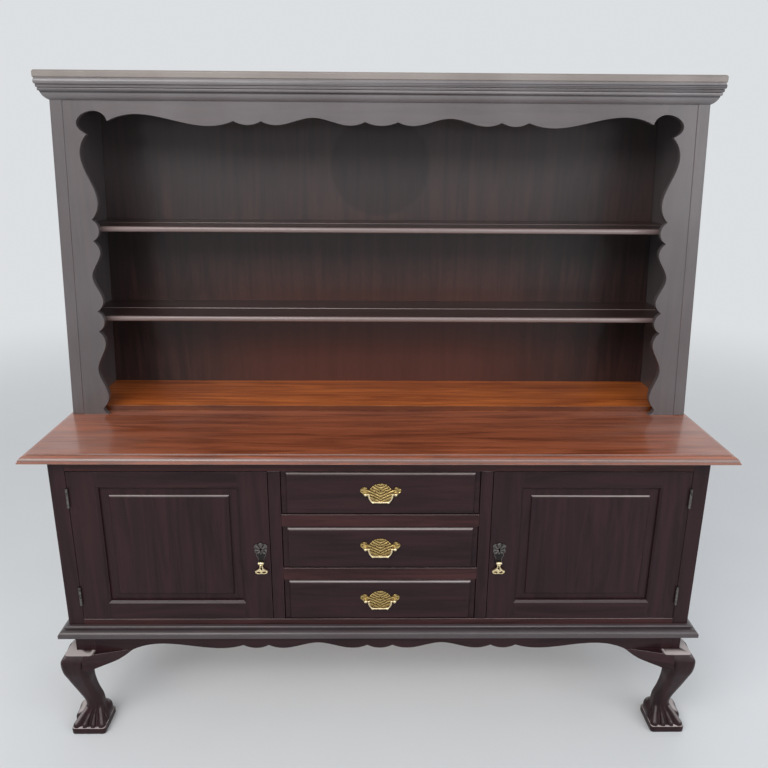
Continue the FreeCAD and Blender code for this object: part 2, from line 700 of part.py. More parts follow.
def escutcheon():
    """A shield-shaped plate with a keyhole; two lugs below it carry the pin of the drop pull."""
    lug_outer = drop_barrel_length / 2 + running_gap + drop_lug_thickness
    neck = (lug_outer, -escutcheon_neck_fall)
    foot = (lug_outer, -drop_pivot_fall - drop_lug_radius)
    right = [arc(escutcheon_crown, escutcheon_shoulder, -0.3), arc(escutcheon_shoulder, escutcheon_hip, 0.2),
             arc(escutcheon_hip, escutcheon_waist, -0.15)] + straight(escutcheon_waist, neck, foot)
    outline = [arc((-escutcheon_crown[0], escutcheon_crown[1]), escutcheon_crown, 0.3)] + right
    outline += straight(foot, (-foot[0], foot[1])) + mirrored(right)
    placed = [[(lock_x + x, lock_z + z) for x, z in run] for run in outline]
    pieces = [prism_y(placed, face - escutcheon_thickness, face)]
    for x0 in (lock_x - lug_outer, lock_x + lug_outer - drop_lug_thickness):
        x1 = x0 + drop_lug_thickness
        pieces.append(rod(V(x0, drop_y, drop_z), V(x1, drop_y, drop_z), drop_lug_radius))
        pieces.append(box(x0, x1, drop_y, face - escutcheon_thickness,
                          drop_z - drop_lug_radius, drop_z + drop_lug_radius))
    pieces.append(rod(V(lock_x - lug_outer, drop_y, drop_z), V(lock_x + lug_outer, drop_y, drop_z),
                      drop_pin_radius))
    write_pair("escutcheon", fused(pieces).cut(keyhole_prism(face - escutcheon_thickness, face)))


def drop_pull():
    """A barrel on the pin, a neck and a wide flat foot."""
    half_barrel = drop_barrel_length / 2
    neck = (drop_neck_half_width, -drop_neck_length)
    shoulder = (drop_half_width, drop_foot_height - drop_length)
    edge = (drop_half_width, shoulder[1] - drop_edge_height)
    crown = (drop_half_width - drop_foot_height, -drop_length)
    right = straight((drop_neck_half_width, 0), neck) + [arc(neck, shoulder, 0.2)] + straight(shoulder, edge)
    right += [arc(edge, crown, -0.2)]
    outline = straight((-drop_neck_half_width, 0), (drop_neck_half_width, 0)) + right
    outline += straight(crown, (-crown[0], crown[1])) + mirrored(right)
    placed = [[(lock_x + x, drop_z + z) for x, z in run] for run in outline]
    blade = prism_y(placed, drop_y - drop_thickness / 2, drop_y + drop_thickness / 2)
    ends = (V(lock_x - half_barrel, drop_y, drop_z), V(lock_x + half_barrel, drop_y, drop_z))
    barrel = rod(*ends, drop_barrel_radius)
    write_pair("drop_pull", fused([blade, barrel]).cut(rod(*ends, drop_pin_radius + running_gap)))


def lock():
    """A case on the back of the door's stile, open to the door where the bolt slides."""
    x0 = door_inner + lock_case_inset
    bolt_z = lock_z + bolt_rise
    case_top = bolt_z + lock_case_rise
    case = box(x0, x0 + lock_case_size, door_back, door_back + lock_case_depth,
               case_top - lock_case_size, case_top)
    bolt = box(door_inner, door_inner + bolt_length, door_back + running_gap,
               door_back + running_gap + bolt_thickness, bolt_z - bolt_height / 2, bolt_z + bolt_height / 2)
    gap = running_gap
    channel = box(door_inner, door_inner + bolt_length + gap, door_back, door_back + bolt_thickness + 2 * gap,
                  bolt_z - bolt_height / 2 - gap, bolt_z + bolt_height / 2 + gap)
    write_pair("lock_case", case.cut(channel))
    write_pair("lock_bolt", bolt)


# ------------------------------------------------------------------ drawers and their pulls
def drawer_front(bottom):
    half = opening_half - drawer_gap
    z0 = bottom + drawer_gap
    z1 = bottom + drawer_opening_height - drawer_gap
    border_front = face + drawer_border_depth
    field_front = border_front - drawer_field_rise
    board = box(-half, half, border_front, frame_back, z0, z1)
    field = (drawer_border_side - half, half - drawer_border_side,
             z0 + drawer_border_end, z1 - drawer_border_end)
    return fused([board, raised_field(field, field_front, border_front, drawer_field_rounding)])


def drawer_box(bottom):
    outer = opening_half - drawer_side_clearance
    wall = drawer_side_thickness
    z0 = bottom + running_gap
    z1 = z0 + drawer_side_height
    rear = inside_back - drawer_back_gap
    shell = box(-outer, outer, frame_back, rear, z0, z1)
    room = box(wall - outer, outer - wall, frame_back, rear - wall, z0 + drawer_bottom_thickness, z1)
    return shell.cut(room)


def pull_plate(centre_z):
    """A bat-wing plate with two ball-headed posts, drilled across for the pins of the bail."""
    post_x = post_spacing / 2
    field_front = face + drawer_border_depth - drawer_field_rise
    plate_front = field_front - plate_thickness
    dome, notch, ear_top, ear_foot, hip = [(post_x + out, z) for out, z in (
        plate_dome, plate_notch, plate_ear, plate_ear_foot, plate_waist)]
    foot = (plate_foot_width / 2, -plate_foot)
    right = [arc(dome, notch, -0.5), arc(notch, ear_top, 0.25), arc(ear_top, ear_foot, -0.1),
             arc(ear_foot, hip, 0.35), arc(hip, foot, 0.15)]
    outline = [[(-dome[0], dome[1]), (0, plate_crown), dome]] + right
    outline += straight(foot, (-foot[0], foot[1])) + mirrored(right)
    placed = [[(x, centre_z + z) for x, z in run] for run in outline]
    pieces = [prism_y(placed, plate_front, field_front)]
    bail_y = plate_front - bail_standoff
    bail_z = centre_z + post_rise
    for x in (-post_x, post_x):
        pieces += [rod(V(x, plate_front, bail_z), V(x, bail_y, bail_z), post_radius),
                   ball(V(x, bail_y, bail_z), post_ball_radius)]
    across = post_x + 2 * post_ball_radius
    pin_hole = rod(V(-across, bail_y, bail_z), V(across, bail_y, bail_z), bail_pin_radius + running_gap)
    return fused(pieces).cut(pin_hole)


def bail(centre_z):
    """A swinging handle: pins in both posts, arms that slope in, and a straight bar between them."""
    post_x = post_spacing / 2
    y = face + drawer_border_depth - drawer_field_rise - plate_thickness - bail_standoff
    z = centre_z + post_rise
    arm_x = post_x - bail_arm_inset
    bar_x = post_x - bail_bar_inset
    bend = V(arm_x - 1, y, z - bail_drop * 0.45)
    right = [V(arm_x, y, z), bend, V(bar_x, y, z - bail_drop)]
    left = [V(-point.x, point.y, point.z) for point in reversed(right)]
    route = right + left
    pieces = [rod(start, end, bail_rod_radius) for start, end in zip(route, route[1:])]
    pieces += [ball(point, bail_rod_radius) for point in route]
    pin_end = post_x + post_ball_radius / 2
    for side in (-1, 1):
        pieces.append(rod(V(side * arm_x, y, z), V(side * pin_end, y, z), bail_pin_radius))
    return fused(pieces)


def drawers():
    for name, bottom in zip(drawer_names, drawer_floors):
        middle = bottom + drawer_opening_height / 2
        write(f"drawer_front_{name}", drawer_front(bottom))
        write(f"drawer_box_{name}", drawer_box(bottom))
        write(f"pull_plate_{name}", pull_plate(middle))
        write(f"bail_{name}", bail(middle))


# ------------------------------------------------------------------ hutch
def hutch_half(z):
    """Half the width over the slanted sides, at a height."""
    rise = (z - counter_top) / (hutch_case_top - counter_top)
    return counter_width / 2 - hutch_foot_inset - rise * hutch_taper


def hutch_block(inset, y0, y1):
    """The room between the slanted sides, less the inset on each, from the counter to the top board."""
    foot = hutch_half(counter_top) - inset
    head = hutch_half(hutch_case_top) - inset
    plan = straight((-foot, counter_top), (foot, counter_top), (head, hutch_case_top),
                    (-head, hutch_case_top), (-foot, counter_top))
    return prism_y(plan, y0, y1)


def stile_runs():
    """Inner edge of the right stile, upwards: (width from the outside, height)."""
    lobe, cusp, valley = scallop_lobe_width, scallop_cusp_width, scallop_valley_width
    start = (cusp, counter_top + scallop_foot_height)
    low_lobe = (lobe, counter_top + scallop_foot_lobe_height)
    runs = [arc((lobe, counter_top), start, 0.2)]
    for shelf_top in shelf_tops:
        group = shelf_top - hutch_shelf_thickness / 2
        high_lobe = (lobe, group - scallop_lobe_offset)
        dip = (valley, (low_lobe[1] + high_lobe[1]) / 2)
        lower_cusp = (cusp, group - scallop_cusp_offset)
        upper_cusp = (cusp, group + scallop_cusp_offset)
        runs.append([start, low_lobe, dip, high_lobe, lower_cusp])
        runs.append([lower_cusp, (lobe, group), upper_cusp])
        start = upper_cusp
        low_lobe = (lobe, group + scallop_lobe_offset)
    notch = (cusp, hutch_case_top - notch_fall)
    top_valley = (scallop_top_valley_width, notch[1] - scallop_top_valley_fall)
    runs.append([start, (lobe, group + scallop_top_lobe_offset), top_valley, notch])
    runs.append([notch] + [(width, notch[1] + rise) for width, rise in scroll_curve])
    return runs


def hutch_opening():
    """Outline of the scalloped opening in the front of the hutch."""
    right = [[(hutch_half(z) - width, z) for width, z in run] for run in stile_runs()]
    scroll_tip = right[-1][-1]
    base = hutch_case_top - head_width
    cusp = base + lobe_depth
    outer = side_lobe_position + lobe_half_width
    inner = side_lobe_position - lobe_half_width
    centre = head_centre_half_width
    right.append([scroll_tip, (scroll_tip[0] - head_shoulder[0], base + head_shoulder[1]),
                  (outer + head_end_dip, base), (outer, cusp)])
    right.append([(outer, cusp), (side_lobe_position, base), (inner, cusp)])
    right.append(wave((inner, cusp), (centre, cusp), base, head_dip_length, head_wave_rise))
    foot = right[0][0]
    below = (foot[0], counter_top - hutch_floor_thickness)
    right.insert(0, [below, foot])
    middle_lobe = [(centre, cusp), (0, base), (-centre, cusp)]
    return right + [middle_lobe] + mirrored(right) + straight((-below[0], below[1]), below)


def hutch_front_boards():
    """The board over the opening, and a stile at each side from the counter to the top board."""
    board_front = hutch_front + front_board_setback
    depth = (board_front, board_front + front_board_thickness)
    board = hutch_block(hutch_side_thickness, *depth).cut(prism_y(hutch_opening(), *depth))
    half = hutch_half(counter_top)
    head_room = box(-half, half, *depth, hutch_case_top - notch_fall, hutch_case_top)
    head = hutch_block(stile_joint_width, *depth).common(head_room)
    write("hutch_apron", board.common(head))
    stiles = sorted(board.cut(head).Solids, key=lambda solid: solid.CenterOfMass.x)
    write("hutch_stile_left", stiles[0])
    write("hutch_stile_right", stiles[-1])


def hutch_case():
    whole = hutch_block(0, hutch_front, back)
    sides = whole.cut(hutch_block(hutch_side_thickness, hutch_front, back))
    left, right = sorted(sides.Solids, key=lambda solid: solid.CenterOfMass.x)
    write("hutch_side_left", left)
    write("hutch_side_right", right)
    write("hutch_back_panel", hutch_block(hutch_side_thickness, inside_back, back))
    room = hutch_block(hutch_side_thickness, hutch_front, inside_back)
    width = hutch_half(counter_top)
    for name, top in zip(("lower", "upper"), shelf_tops):
        shelf = prism_x(shelf_section(top), -width, width)
        write(f"hutch_shelf_{name}", shelf.common(room))
    floor_board = box(-width, width, hutch_front + hutch_floor_setback, inside_back,
                      counter_top, counter_top + hutch_floor_thickness)
    write("hutch_bottom_board", floor_board.common(room))


def shelf_section(top):
    """Front to back: a round front edge, and a groove in the top to stand plates in."""
    bottom = top - hutch_shelf_thickness
    nose = hutch_front + shelf_setback + hutch_shelf_thickness / 2
    groove_back = inside_back - plate_groove_distance
    groove_front = groove_back - plate_groove_width
    section = [arc((nose, bottom), (nose, top), 0.5)]
    section += straight((nose, top), (groove_front, top))
    section += [arc((groove_front, top), (groove_back, top), -plate_groove_depth / plate_groove_width)]
    section += straight((groove_back, top), (inside_back, top), (inside_back, bottom), (nose, bottom))
    return section


def cornice():
    """Top board with a rounded edge over a moulding of a groove, a bead, two reeds and an ovolo."""
    base_half = hutch_half(hutch_case_top - cornice_height)
    top = hutch_case_top
    high = top + top_board_thickness
    low = top - cornice_height
    edge = cornice_reach
    quarter = (math.sqrt(2) - 1) / 2
    board_profile = [arc((edge - top_board_rounding, high), (edge, high - top_board_rounding), quarter)]
    turn = top + top_board_under_rounding
    board_profile += straight((edge, high - top_board_rounding), (edge, turn))
    board_profile += [arc((edge, turn), (edge - top_board_under_rounding, top), quarter)]
    write("hutch_top_board", moulded_slab(board_profile, base_half, hutch_front))
    out = edge - cornice_groove_depth
    level = top - cornice_groove_height
    profile = straight((out, top), (out, level))
    for height in [cornice_bead_height] + [cornice_reed_height] * cornice_reed_count:
        profile += [arc((out, level), (out, level - height), 0.15)]
        level -= height
        profile += straight((out, level), (out - cornice_step, level))
        out -= cornice_step
    profile += [arc((out, level), (0, low), 0.12)]
    slab = moulded_slab(profile, base_half, hutch_front)
    ring = slab.cut(hutch_block(0, hutch_front, back))
    write("cornice_moulding", *mitred(ring, base_half, hutch_front, cornice_reach, low, top))


def build():
    os.makedirs("parts", exist_ok=True)
    door_leaves, fixed_leaves, door_seats, fixed_seats = hinges()
    counter()
    carcase_boards()
    face_frame(fixed_seats)
    inside_fittings()
    waist()
    front_apron()
    legs_and_wings()
    sight = door_frame(door_seats, keyhole_prism(face, door_back))
    door_panel(sight)
    write_pair("door_hinge_leaves", Part.makeCompound(door_leaves))
    write("carcase_hinge_leaves", *fixed_leaves, *[mirror_x(leaf) for leaf in fixed_leaves])
    escutcheon()
    drop_pull()
    lock()
    drawers()
    hutch_case()
    hutch_front_boards()
    cornice()


build()
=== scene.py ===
import math

import bpy
from mathutils import Matrix, Vector
from mathutils.geometry import delaunay_2d_cdt
from mathutils.kdtree import KDTree


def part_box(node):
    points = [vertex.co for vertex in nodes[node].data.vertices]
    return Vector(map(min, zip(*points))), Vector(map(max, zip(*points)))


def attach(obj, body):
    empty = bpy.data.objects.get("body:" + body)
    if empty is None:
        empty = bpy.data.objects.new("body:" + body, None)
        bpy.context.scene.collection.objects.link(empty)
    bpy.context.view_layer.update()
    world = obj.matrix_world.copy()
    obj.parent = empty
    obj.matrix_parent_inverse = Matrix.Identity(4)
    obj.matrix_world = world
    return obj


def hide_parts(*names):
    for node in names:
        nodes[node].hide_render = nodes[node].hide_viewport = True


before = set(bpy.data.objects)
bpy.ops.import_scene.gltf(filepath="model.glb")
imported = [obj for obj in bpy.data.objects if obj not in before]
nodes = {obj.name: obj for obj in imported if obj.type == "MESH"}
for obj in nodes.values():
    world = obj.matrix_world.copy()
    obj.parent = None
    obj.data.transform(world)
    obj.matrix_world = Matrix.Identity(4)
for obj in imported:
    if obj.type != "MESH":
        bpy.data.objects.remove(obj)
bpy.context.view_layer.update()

scene = bpy.context.scene
SIDES = ("left", "right")
DRAWERS = ("top", "middle", "bottom")

# Heights and faces read from the frame, in metres.
COUNTER_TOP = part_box("counter_top")[1].z
FACE_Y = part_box("face_stiles")[0].y


# ------------------------------------------------------------------ camera, floor and light
def place_camera():
    """The photograph's view: its focal length is given in pixels of a 768-pixel frame."""
    focal_pixels = 738.4
    frame_pixels = 768
    yaw, pitch, roll = 0.0137, 0.3045, -0.0067
    eye = Vector((-0.0165, -1.9314, 1.5404))
    ahead = Vector((math.sin(yaw) * math.cos(pitch), math.cos(yaw) * math.cos(pitch), -math.sin(pitch)))
    level = Vector((math.cos(yaw), -math.sin(yaw), 0))
    down = ahead.cross(level)
    right = level * math.cos(roll) + down * math.sin(roll)
    up = level * math.sin(roll) - down * math.cos(roll)
    data = bpy.data.cameras.new("camera")
    data.sensor_width = 36
    data.lens = focal_pixels / frame_pixels * data.sensor_width
    data.clip_start = 0.05
    camera = bpy.data.objects.new("camera", data)
    turn = Matrix((right, up, -ahead)).transposed()
    camera.matrix_world = Matrix.Translation(eye) @ turn.to_4x4()
    scene.collection.objects.link(camera)
    scene.camera = camera


def area_lamp(name, place, aim, size, power, colour=(1, 1, 1)):
    data = bpy.data.lights.new(name, "AREA")
    data.shape = "RECTANGLE"
    data.size, data.size_y = size
    data.energy = power
    data.color = colour
    lamp = bpy.data.objects.new(name, data)
    lamp.location = place
    lamp.rotation_euler = (Vector(aim) - Vector(place)).to_track_quat("-Z", "Y").to_euler()
    scene.collection.objects.link(lamp)


BACKDROP = (0.72, 0.74, 0.76)


def light_the_room():
    area_lamp("key", (-2.2, -3.2, 3.6), (0, 0, 0.9), (3.0, 2.4), 95, (1, 0.98, 0.95))
    area_lamp("fill", (2.8, -2.6, 2.2), (0, 0, 0.8), (2.4, 2.4), 40, (0.95, 0.97, 1))
    area_lamp("back", (0.4, 3.2, 3.4), (0, 0, 1.0), (3.0, 2.0), 35)
    area_lamp("top", (0, -3.0, 2.9), (0, 0, 1.5), (4.2, 0.9), 42, (0.97, 0.98, 1))
    world = bpy.data.worlds.new("room")
    world.use_nodes = True
    scene.world = world
    tree = world.node_tree
    background = tree.nodes["Background"]
    background.inputs["Color"].default_value = (*BACKDROP, 1)
    tree.links.new(seen_directly(tree), background.inputs["Strength"])


def seen_directly(tree, others=0.55):
    """1 for what the camera sees, also by way of metal and glass, and less for the light on the object."""
    path = tree.nodes.new("ShaderNodeLightPath")
    seen = tree.nodes.new("ShaderNodeMix")
    seen.inputs["A"].default_value = others
    seen.inputs["B"].default_value = 1.0
    direct = path.outputs["Is Camera Ray"]
    for way in ("Is Glossy Ray", "Is Transmission Ray"):
        either = tree.nodes.new("ShaderNodeMath")
        either.operation = "MAXIMUM"
        tree.links.new(direct, either.inputs[0])
        tree.links.new(path.outputs[way], either.inputs[1])
        direct = either.outputs[0]
    tree.links.new(direct, seen.inputs["Factor"])
    return seen.outputs["Result"]


def lay_floor():
    mesh = bpy.data.meshes.new("floor")
    reach = 14.0
    mesh.from_pydata([(-reach, -reach, 0), (reach, -reach, 0), (reach, reach, 0), (-reach, reach, 0)],
                     [], [(0, 1, 2, 3)])
    floor = bpy.data.objects.new("floor", mesh)
    scene.collection.objects.link(floor)
    mesh.materials.append(floor_paint())


# ------------------------------------------------------------------ materials
COAT_ROUGHNESS = 0.12


class Shader:
    """A material's node tree, with short ways to add nodes and links."""

    def __init__(self, name):
        self.material = bpy.data.materials.new(name)
        self.material.use_nodes = True
        self.tree = self.material.node_tree
        self.surface = self.tree.nodes["Principled BSDF"]
        self.place = self.add("ShaderNodeTexCoord").outputs["Object"]

    def add(self, kind, **settings):
        node = self.tree.nodes.new(kind)
        for key, value in settings.items():
            setattr(node, key, value)
        return node

    def feed(self, socket, value):
        """Links a socket, or sets a constant."""
        if isinstance(value, bpy.types.NodeSocket):
            self.tree.links.new(value, socket)
        elif isinstance(value, tuple) and len(value) == 3 and len(socket.default_value) == 4:
            socket.default_value = (*value, 1)
        else:
            socket.default_value = value

    def math(self, operation, a, b=0.0, clamp=False):
        node = self.add("ShaderNodeMath", operation=operation, use_clamp=clamp)
        self.feed(node.inputs[0], a)
        self.feed(node.inputs[1], b)
        return node.outputs[0]

    def less(self, value, clamp=False):
        """One less the value."""
        return self.math("SUBTRACT", 1.0, value, clamp)

    def length(self, a, b):
        """The long side of a right triangle with the sides a and b."""
        return self.math("SQRT", self.math("ADD", self.math("POWER", a, 2.0), self.math("POWER", b, 2.0)))

    def mix(self, factor, a, b):
        node = self.add("ShaderNodeMix", data_type="RGBA")
        self.feed(node.inputs["Factor"], factor)
        self.feed(node.inputs["A"], a)
        self.feed(node.inputs["B"], b)
        return node.outputs["Result"]

    def stretched(self, scale):
        node = self.add("ShaderNodeMapping")
        self.feed(node.inputs["Vector"], self.place)
        node.inputs["Scale"].default_value = scale
        return node.outputs["Vector"]

    def noise(self, where, scale, detail=4.0, distortion=0.0, roughness=0.55):
        node = self.add("ShaderNodeTexNoise")
        self.feed(node.inputs["Vector"], where)
        node.inputs["Scale"].default_value = scale
        node.inputs["Detail"].default_value = detail
        node.inputs["Roughness"].default_value = roughness
        node.inputs["Distortion"].default_value = distortion
        return node.outputs["Fac"]

    def band(self, value, low, high):
        """0 below low, 1 above high, and a smooth step between them."""
        node = self.add("ShaderNodeMapRange", interpolation_type="SMOOTHSTEP")
        self.feed(node.inputs["Value"], value)
        node.inputs["From Min"].default_value = low
        node.inputs["From Max"].default_value = high
        return node.outputs["Result"]

    def axes(self):
        node = self.add("ShaderNodeSeparateXYZ")
        self.feed(node.inputs[0], self.place)
        return node.outputs

    def edge(self, radius):
        """How much the surface turns within the radius: 1 on an edge and 0 on a flat."""
        rounded = self.add("ShaderNodeBevel", samples=4)
        rounded.inputs["Radius"].default_value = radius
        flat = self.add("ShaderNodeNewGeometry").outputs["Normal"]
        dot = self.add("ShaderNodeVectorMath", operation="DOT_PRODUCT")
        self.feed(dot.inputs[0], rounded.outputs["Normal"])
        self.feed(dot.inputs[1], flat)
        return self.band(self.less(dot.outputs["Value"]), 0.01, 0.25)

    def bump(self, height, distance, strength):
        node = self.add("ShaderNodeBump")
        node.inputs["Distance"].default_value = distance
        node.inputs["Strength"].default_value = strength
        self.feed(node.inputs["Height"], height)
        self.feed(self.surface.inputs["Normal"], node.outputs["Normal"])

    def finish(self, colour, roughness, metallic=0.0, coat=0.0, specular=0.5):
        self.feed(self.surface.inputs["Base Color"], colour)
        self.feed(self.surface.inputs["Roughness"], roughness)
        self.surface.inputs["Metallic"].default_value = metallic
        self.surface.inputs["Coat Weight"].default_value = coat
        self.surface.inputs["Coat Roughness"].default_value = COAT_ROUGHNESS
        self.surface.inputs["Specular IOR Level"].default_value = specular
        return self.material


def floor_paint():
    """Pale paint with a faint mottle; far from the object it fades into the backdrop."""
    shader = Shader("floor_paint")
    x, y, _ = shader.axes()
    far = shader.band(shader.length(x, y), 1.8, 6.0)
    colour = shader.mix(shader.noise(shader.place, 3.0), (0.76, 0.78, 0.80), (0.80, 0.82, 0.84))
    shader.surface.inputs["Emission Color"].default_value = (*BACKDROP, 1)
    shader.feed(shader.surface.inputs["Emission Strength"],
                shader.math("MULTIPLY", far, seen_directly(shader.tree, 0.0)))
    return shader.finish(shader.mix(far, colour, (0.0, 0.0, 0.0)), 0.75, specular=0.0)


GRAIN_SCALE = {"X": (1.0, 14.0, 14.0), "Y": (14.0, 1.0, 14.0), "Z": (14.0, 14.0, 1.0)}


def wood(name, dark, light, grain, gloss=0.30, coat=0.4, cross=None, wear=0.35, tint=None, specular=0.5):
    """Polished timber. Cross is a range of |x| where the grain runs along X instead; tint adds marks and
    painted light.
    """
    shader = Shader(name)

    def figure(direction):
        where = shader.stretched(GRAIN_SCALE[direction])
        streaks = shader.noise(where, 3.2, 6, 0.9)
        pores = shader.noise(where, 26.0, 3, 0.2)
        return streaks, pores

    streaks, pores = figure(grain)
    if cross:
        across = shader.math("ABSOLUTE", shader.axes()["X"])
        inside = shader.math("MULTIPLY", shader.math("GREATER_THAN", across, cross[0]),
                             shader.math("LESS_THAN", across, cross[1]))
        other, other_pores = figure("X")
        streaks = shader.math("ADD", shader.math("MULTIPLY", streaks, shader.less(inside)),
                              shader.math("MULTIPLY", other, inside))
        pores = shader.math("ADD", shader.math("MULTIPLY", pores, shader.less(inside)),
                            shader.math("MULTIPLY", other_pores, inside))
    blotch = shader.noise(shader.place, 2.6, 3)
    share = shader.band(shader.math("ADD", streaks, shader.math("MULTIPLY", blotch, 0.35)), 0.42, 0.92)
    colour = shader.mix(share, dark, light)
    pore_mask = shader.math("MULTIPLY", shader.band(pores, 0.60, 0.72), 0.45)
    colour = shader.mix(pore_mask, colour, tuple(0.35 * channel for channel in dark))
    if tint:
        colour = tint(shader, colour)
    if wear:
        patchy = shader.band(shader.noise(shader.place, 18.0, 5), 0.35, 0.7)
        rubbed = shader.math("MULTIPLY", shader.edge(0.0035), patchy)
        worn = tuple(min(1.0, 2.4 * channel + 0.02) for channel in light)
        colour = shader.mix(shader.math("MULTIPLY", rubbed, wear), colour, worn)
    smudge = shader.noise(shader.place, 7.0, 4)
    roughness = shader.math("ADD", gloss, shader.math("MULTIPLY", smudge, 0.14))
    shader.bump(shader.math("SUBTRACT", streaks, shader.math("MULTIPLY", pore_mask, 1.2)), 0.0004, 0.35)
    return shader.finish(colour, roughness, 0.0, coat, specular)


def brass(name, bright, tarnish, amount, relief_y=None):
    """Cast brass, spotted; relief_y is where its high places and its dark hollows lie, along Y."""
    shader = Shader(name)
    spots = shader.band(shader.noise(shader.place, 160.0, 6), 0.42, 0.68)
    rubbed = shader.edge(0.0012)
    dull = shader.math("MULTIPLY", shader.less(rubbed, True), amount)
    dull = shader.math("ADD", dull, shader.math("MULTIPLY", spots, 0.35), True)
    if relief_y:
        dull = shader.math("MAXIMUM", dull, shader.band(shader.axes()["Y"], *relief_y))
    colour = shader.mix(dull, bright, tarnish)
    roughness = shader.math("ADD", 0.22, shader.math("MULTIPLY", dull, 0.3))
    shader.bump(shader.noise(shader.place, 420.0, 3), 0.0002, 0.3)
    return shader.finish(colour, roughness, 1.0)


def steel(name):
    shader = Shader(name)
    brushed = shader.noise(shader.stretched((300.0, 12.0, 12.0)), 2.0)
    rust = shader.band(shader.noise(shader.place, 60.0, 5), 0.6, 0.8)
    colour = shader.mix(shader.math("MULTIPLY", rust, 0.5), (0.32, 0.31, 0.30), (0.16, 0.08, 0.04))
    roughness = shader.math("ADD", 0.32, shader.math("MULTIPLY", brushed, 0.2))
    return shader.finish(colour, roughness, 1.0)


# Grey of an old bloom, which also serves as a painted sheen.
HAZE_AND_SHEEN = (0.165, 0.150, 0.155)
# A paler painted highlight for front noses.
NOSE_HIGHLIGHT = (0.26, 0.195, 0.185)
# A painted highlight on upward roundings and bevels.
SLOPE_HIGHLIGHT = (0.60, 0.53, 0.52)


def bloom_and_sheen(share, bloom_sheen_colour=HAZE_AND_SHEEN, nose_highlight=0.0):
    """A grey bloom over old polish, in patches, and a painted sheen where the polish reflects the sky; the
    nose share gives a paler painted highlight on the front.
    """
    def tint(shader, colour):
        patches = shader.band(shader.noise(shader.stretched((1.0, 1.0, 0.6)), 3.4, 5), 0.25, 0.75)
        patchy = shader.math("ADD", shader.math("MULTIPLY", patches, 0.5), 0.75)
        bloom_sheen_share = shader.math("MULTIPLY", patchy, share)
        colour = shader.mix(bloom_sheen_share, colour, bloom_sheen_colour)
        return front_tint(shader, colour, NOSE_HIGHLIGHT, nose_highlight) if nose_highlight else colour
    return tint


def facing(shader, axis, sign, low, high):
    """1 on surfaces that face the positive or negative way along an axis, and 0 on the others."""
    normal = shader.add("ShaderNodeNewGeometry").outputs["Normal"]
    split = shader.add("ShaderNodeSeparateXYZ")
    shader.feed(split.inputs[0], normal)
    return shader.band(shader.math("MULTIPLY", split.outputs[axis], sign), low, high)


def front_tint(shader, colour, front, share=1.0):
    """The colour, and a share of another on what faces the front."""
    return shader.mix(shader.math("MULTIPLY", facing(shader, "Y", -1.0, 0.35, 0.8), share), colour, front)


def painted_highlight_slopes(shader, colour):
    """Painted highlight, pale along the roundings and bevels that slope upwards, but not on flat tops."""
    patches = shader.band(shader.noise(shader.place, 5.0, 4), 0.2, 0.7)
    sloping = shader.math("MULTIPLY", facing(shader, "Z", 1.0, 0.55, 0.97),
                          shader.less(facing(shader, "Z", 1.0, 0.985, 0.999)))
    share = shader.math("MULTIPLY", sloping, shader.math("ADD", shader.math("MULTIPLY", patches, 0.3), 0.6))
    return shader.mix(share, colour, SLOPE_HIGHLIGHT)


def painted_shade_front(shader, colour):
    """Painted shade, darker on the front edge of the board."""
    return front_tint(shader, colour, (0.045, 0.010, 0.005), 0.85)


def back_panel_marks(shader, colour):
    """On the front, bloom above, red painted light in the lower middle, and a round patch where a plate kept
    the light off.
    """
    centre_x, centre_z, radius = -0.002, 1.504, 0.145
    x, _, z = shader.axes()
    away = shader.length(shader.math("SUBTRACT", x, centre_x), shader.math("SUBTRACT", z, centre_z))
    inside = shader.less(shader.band(away, radius - 0.012, radius + 0.004))
    upper = shader.band(z, COUNTER_TOP + 0.30, COUNTER_TOP + 0.75)
    marked = shader.mix(shader.math("MULTIPLY", upper, 0.22), colour, HAZE_AND_SHEEN)
    marked = shader.mix(shader.math("MULTIPLY", inside, 0.45), marked, (0.016, 0.013, 0.014))
    # Painted light: warmer and paler in the lower middle of the panel, where the light falls.
    low = shader.less(shader.band(z, COUNTER_TOP + 0.05, COUNTER_TOP + 0.5))
    middle = shader.less(shader.band(shader.math("ABSOLUTE", x), 0.2, 0.75))
    painted_light_low = shader.math("MULTIPLY", shader.math("MULTIPLY", low, middle), 0.6)
    return front_tint(shader, colour, shader.mix(painted_light_low, marked, (0.105, 0.026, 0.014)))


def painted_sheen_ends(shader, colour):
    """Painted sheen: the counter is hazy and paler towards its ends, and greyer on its front edge."""
    x, _, _ = shader.axes()
    ends = shader.band(shader.math("ABSOLUTE", x), 0.35, 0.85)
    patchy = shader.band(shader.noise(shader.stretched((1.0, 3.0, 1.0)), 4.0, 4), 0.3, 0.75)
    colour = shader.mix(shader.math("MULTIPLY", shader.math("MULTIPLY", ends, patchy), 0.5), colour,
                        (0.42, 0.22, 0.17))
    return front_tint(shader, colour, (0.13, 0.105, 0.10), 0.65)


DARK = ((0.013, 0.0046, 0.0058), (0.031, 0.0112, 0.0132))
FRAME = ((0.020, 0.012, 0.012), (0.060, 0.036, 0.034))
RED = ((0.15, 0.036, 0.015), (0.42, 0.115, 0.048))
RAIL = ((0.021, 0.0062, 0.0066), (0.058, 0.0185, 0.0185))
RAW = ((0.16, 0.09, 0.045), (0.36, 0.22, 0.12))


def base_polish(name, grain, colours=DARK, cross=None):
    """The dark polish of the base, with little gloss and painted highlights on the slopes that face upwards.
    """
    return wood(name, *colours, grain, 0.32, 0.05, cross=cross, tint=painted_highlight_slopes, specular=0.2)


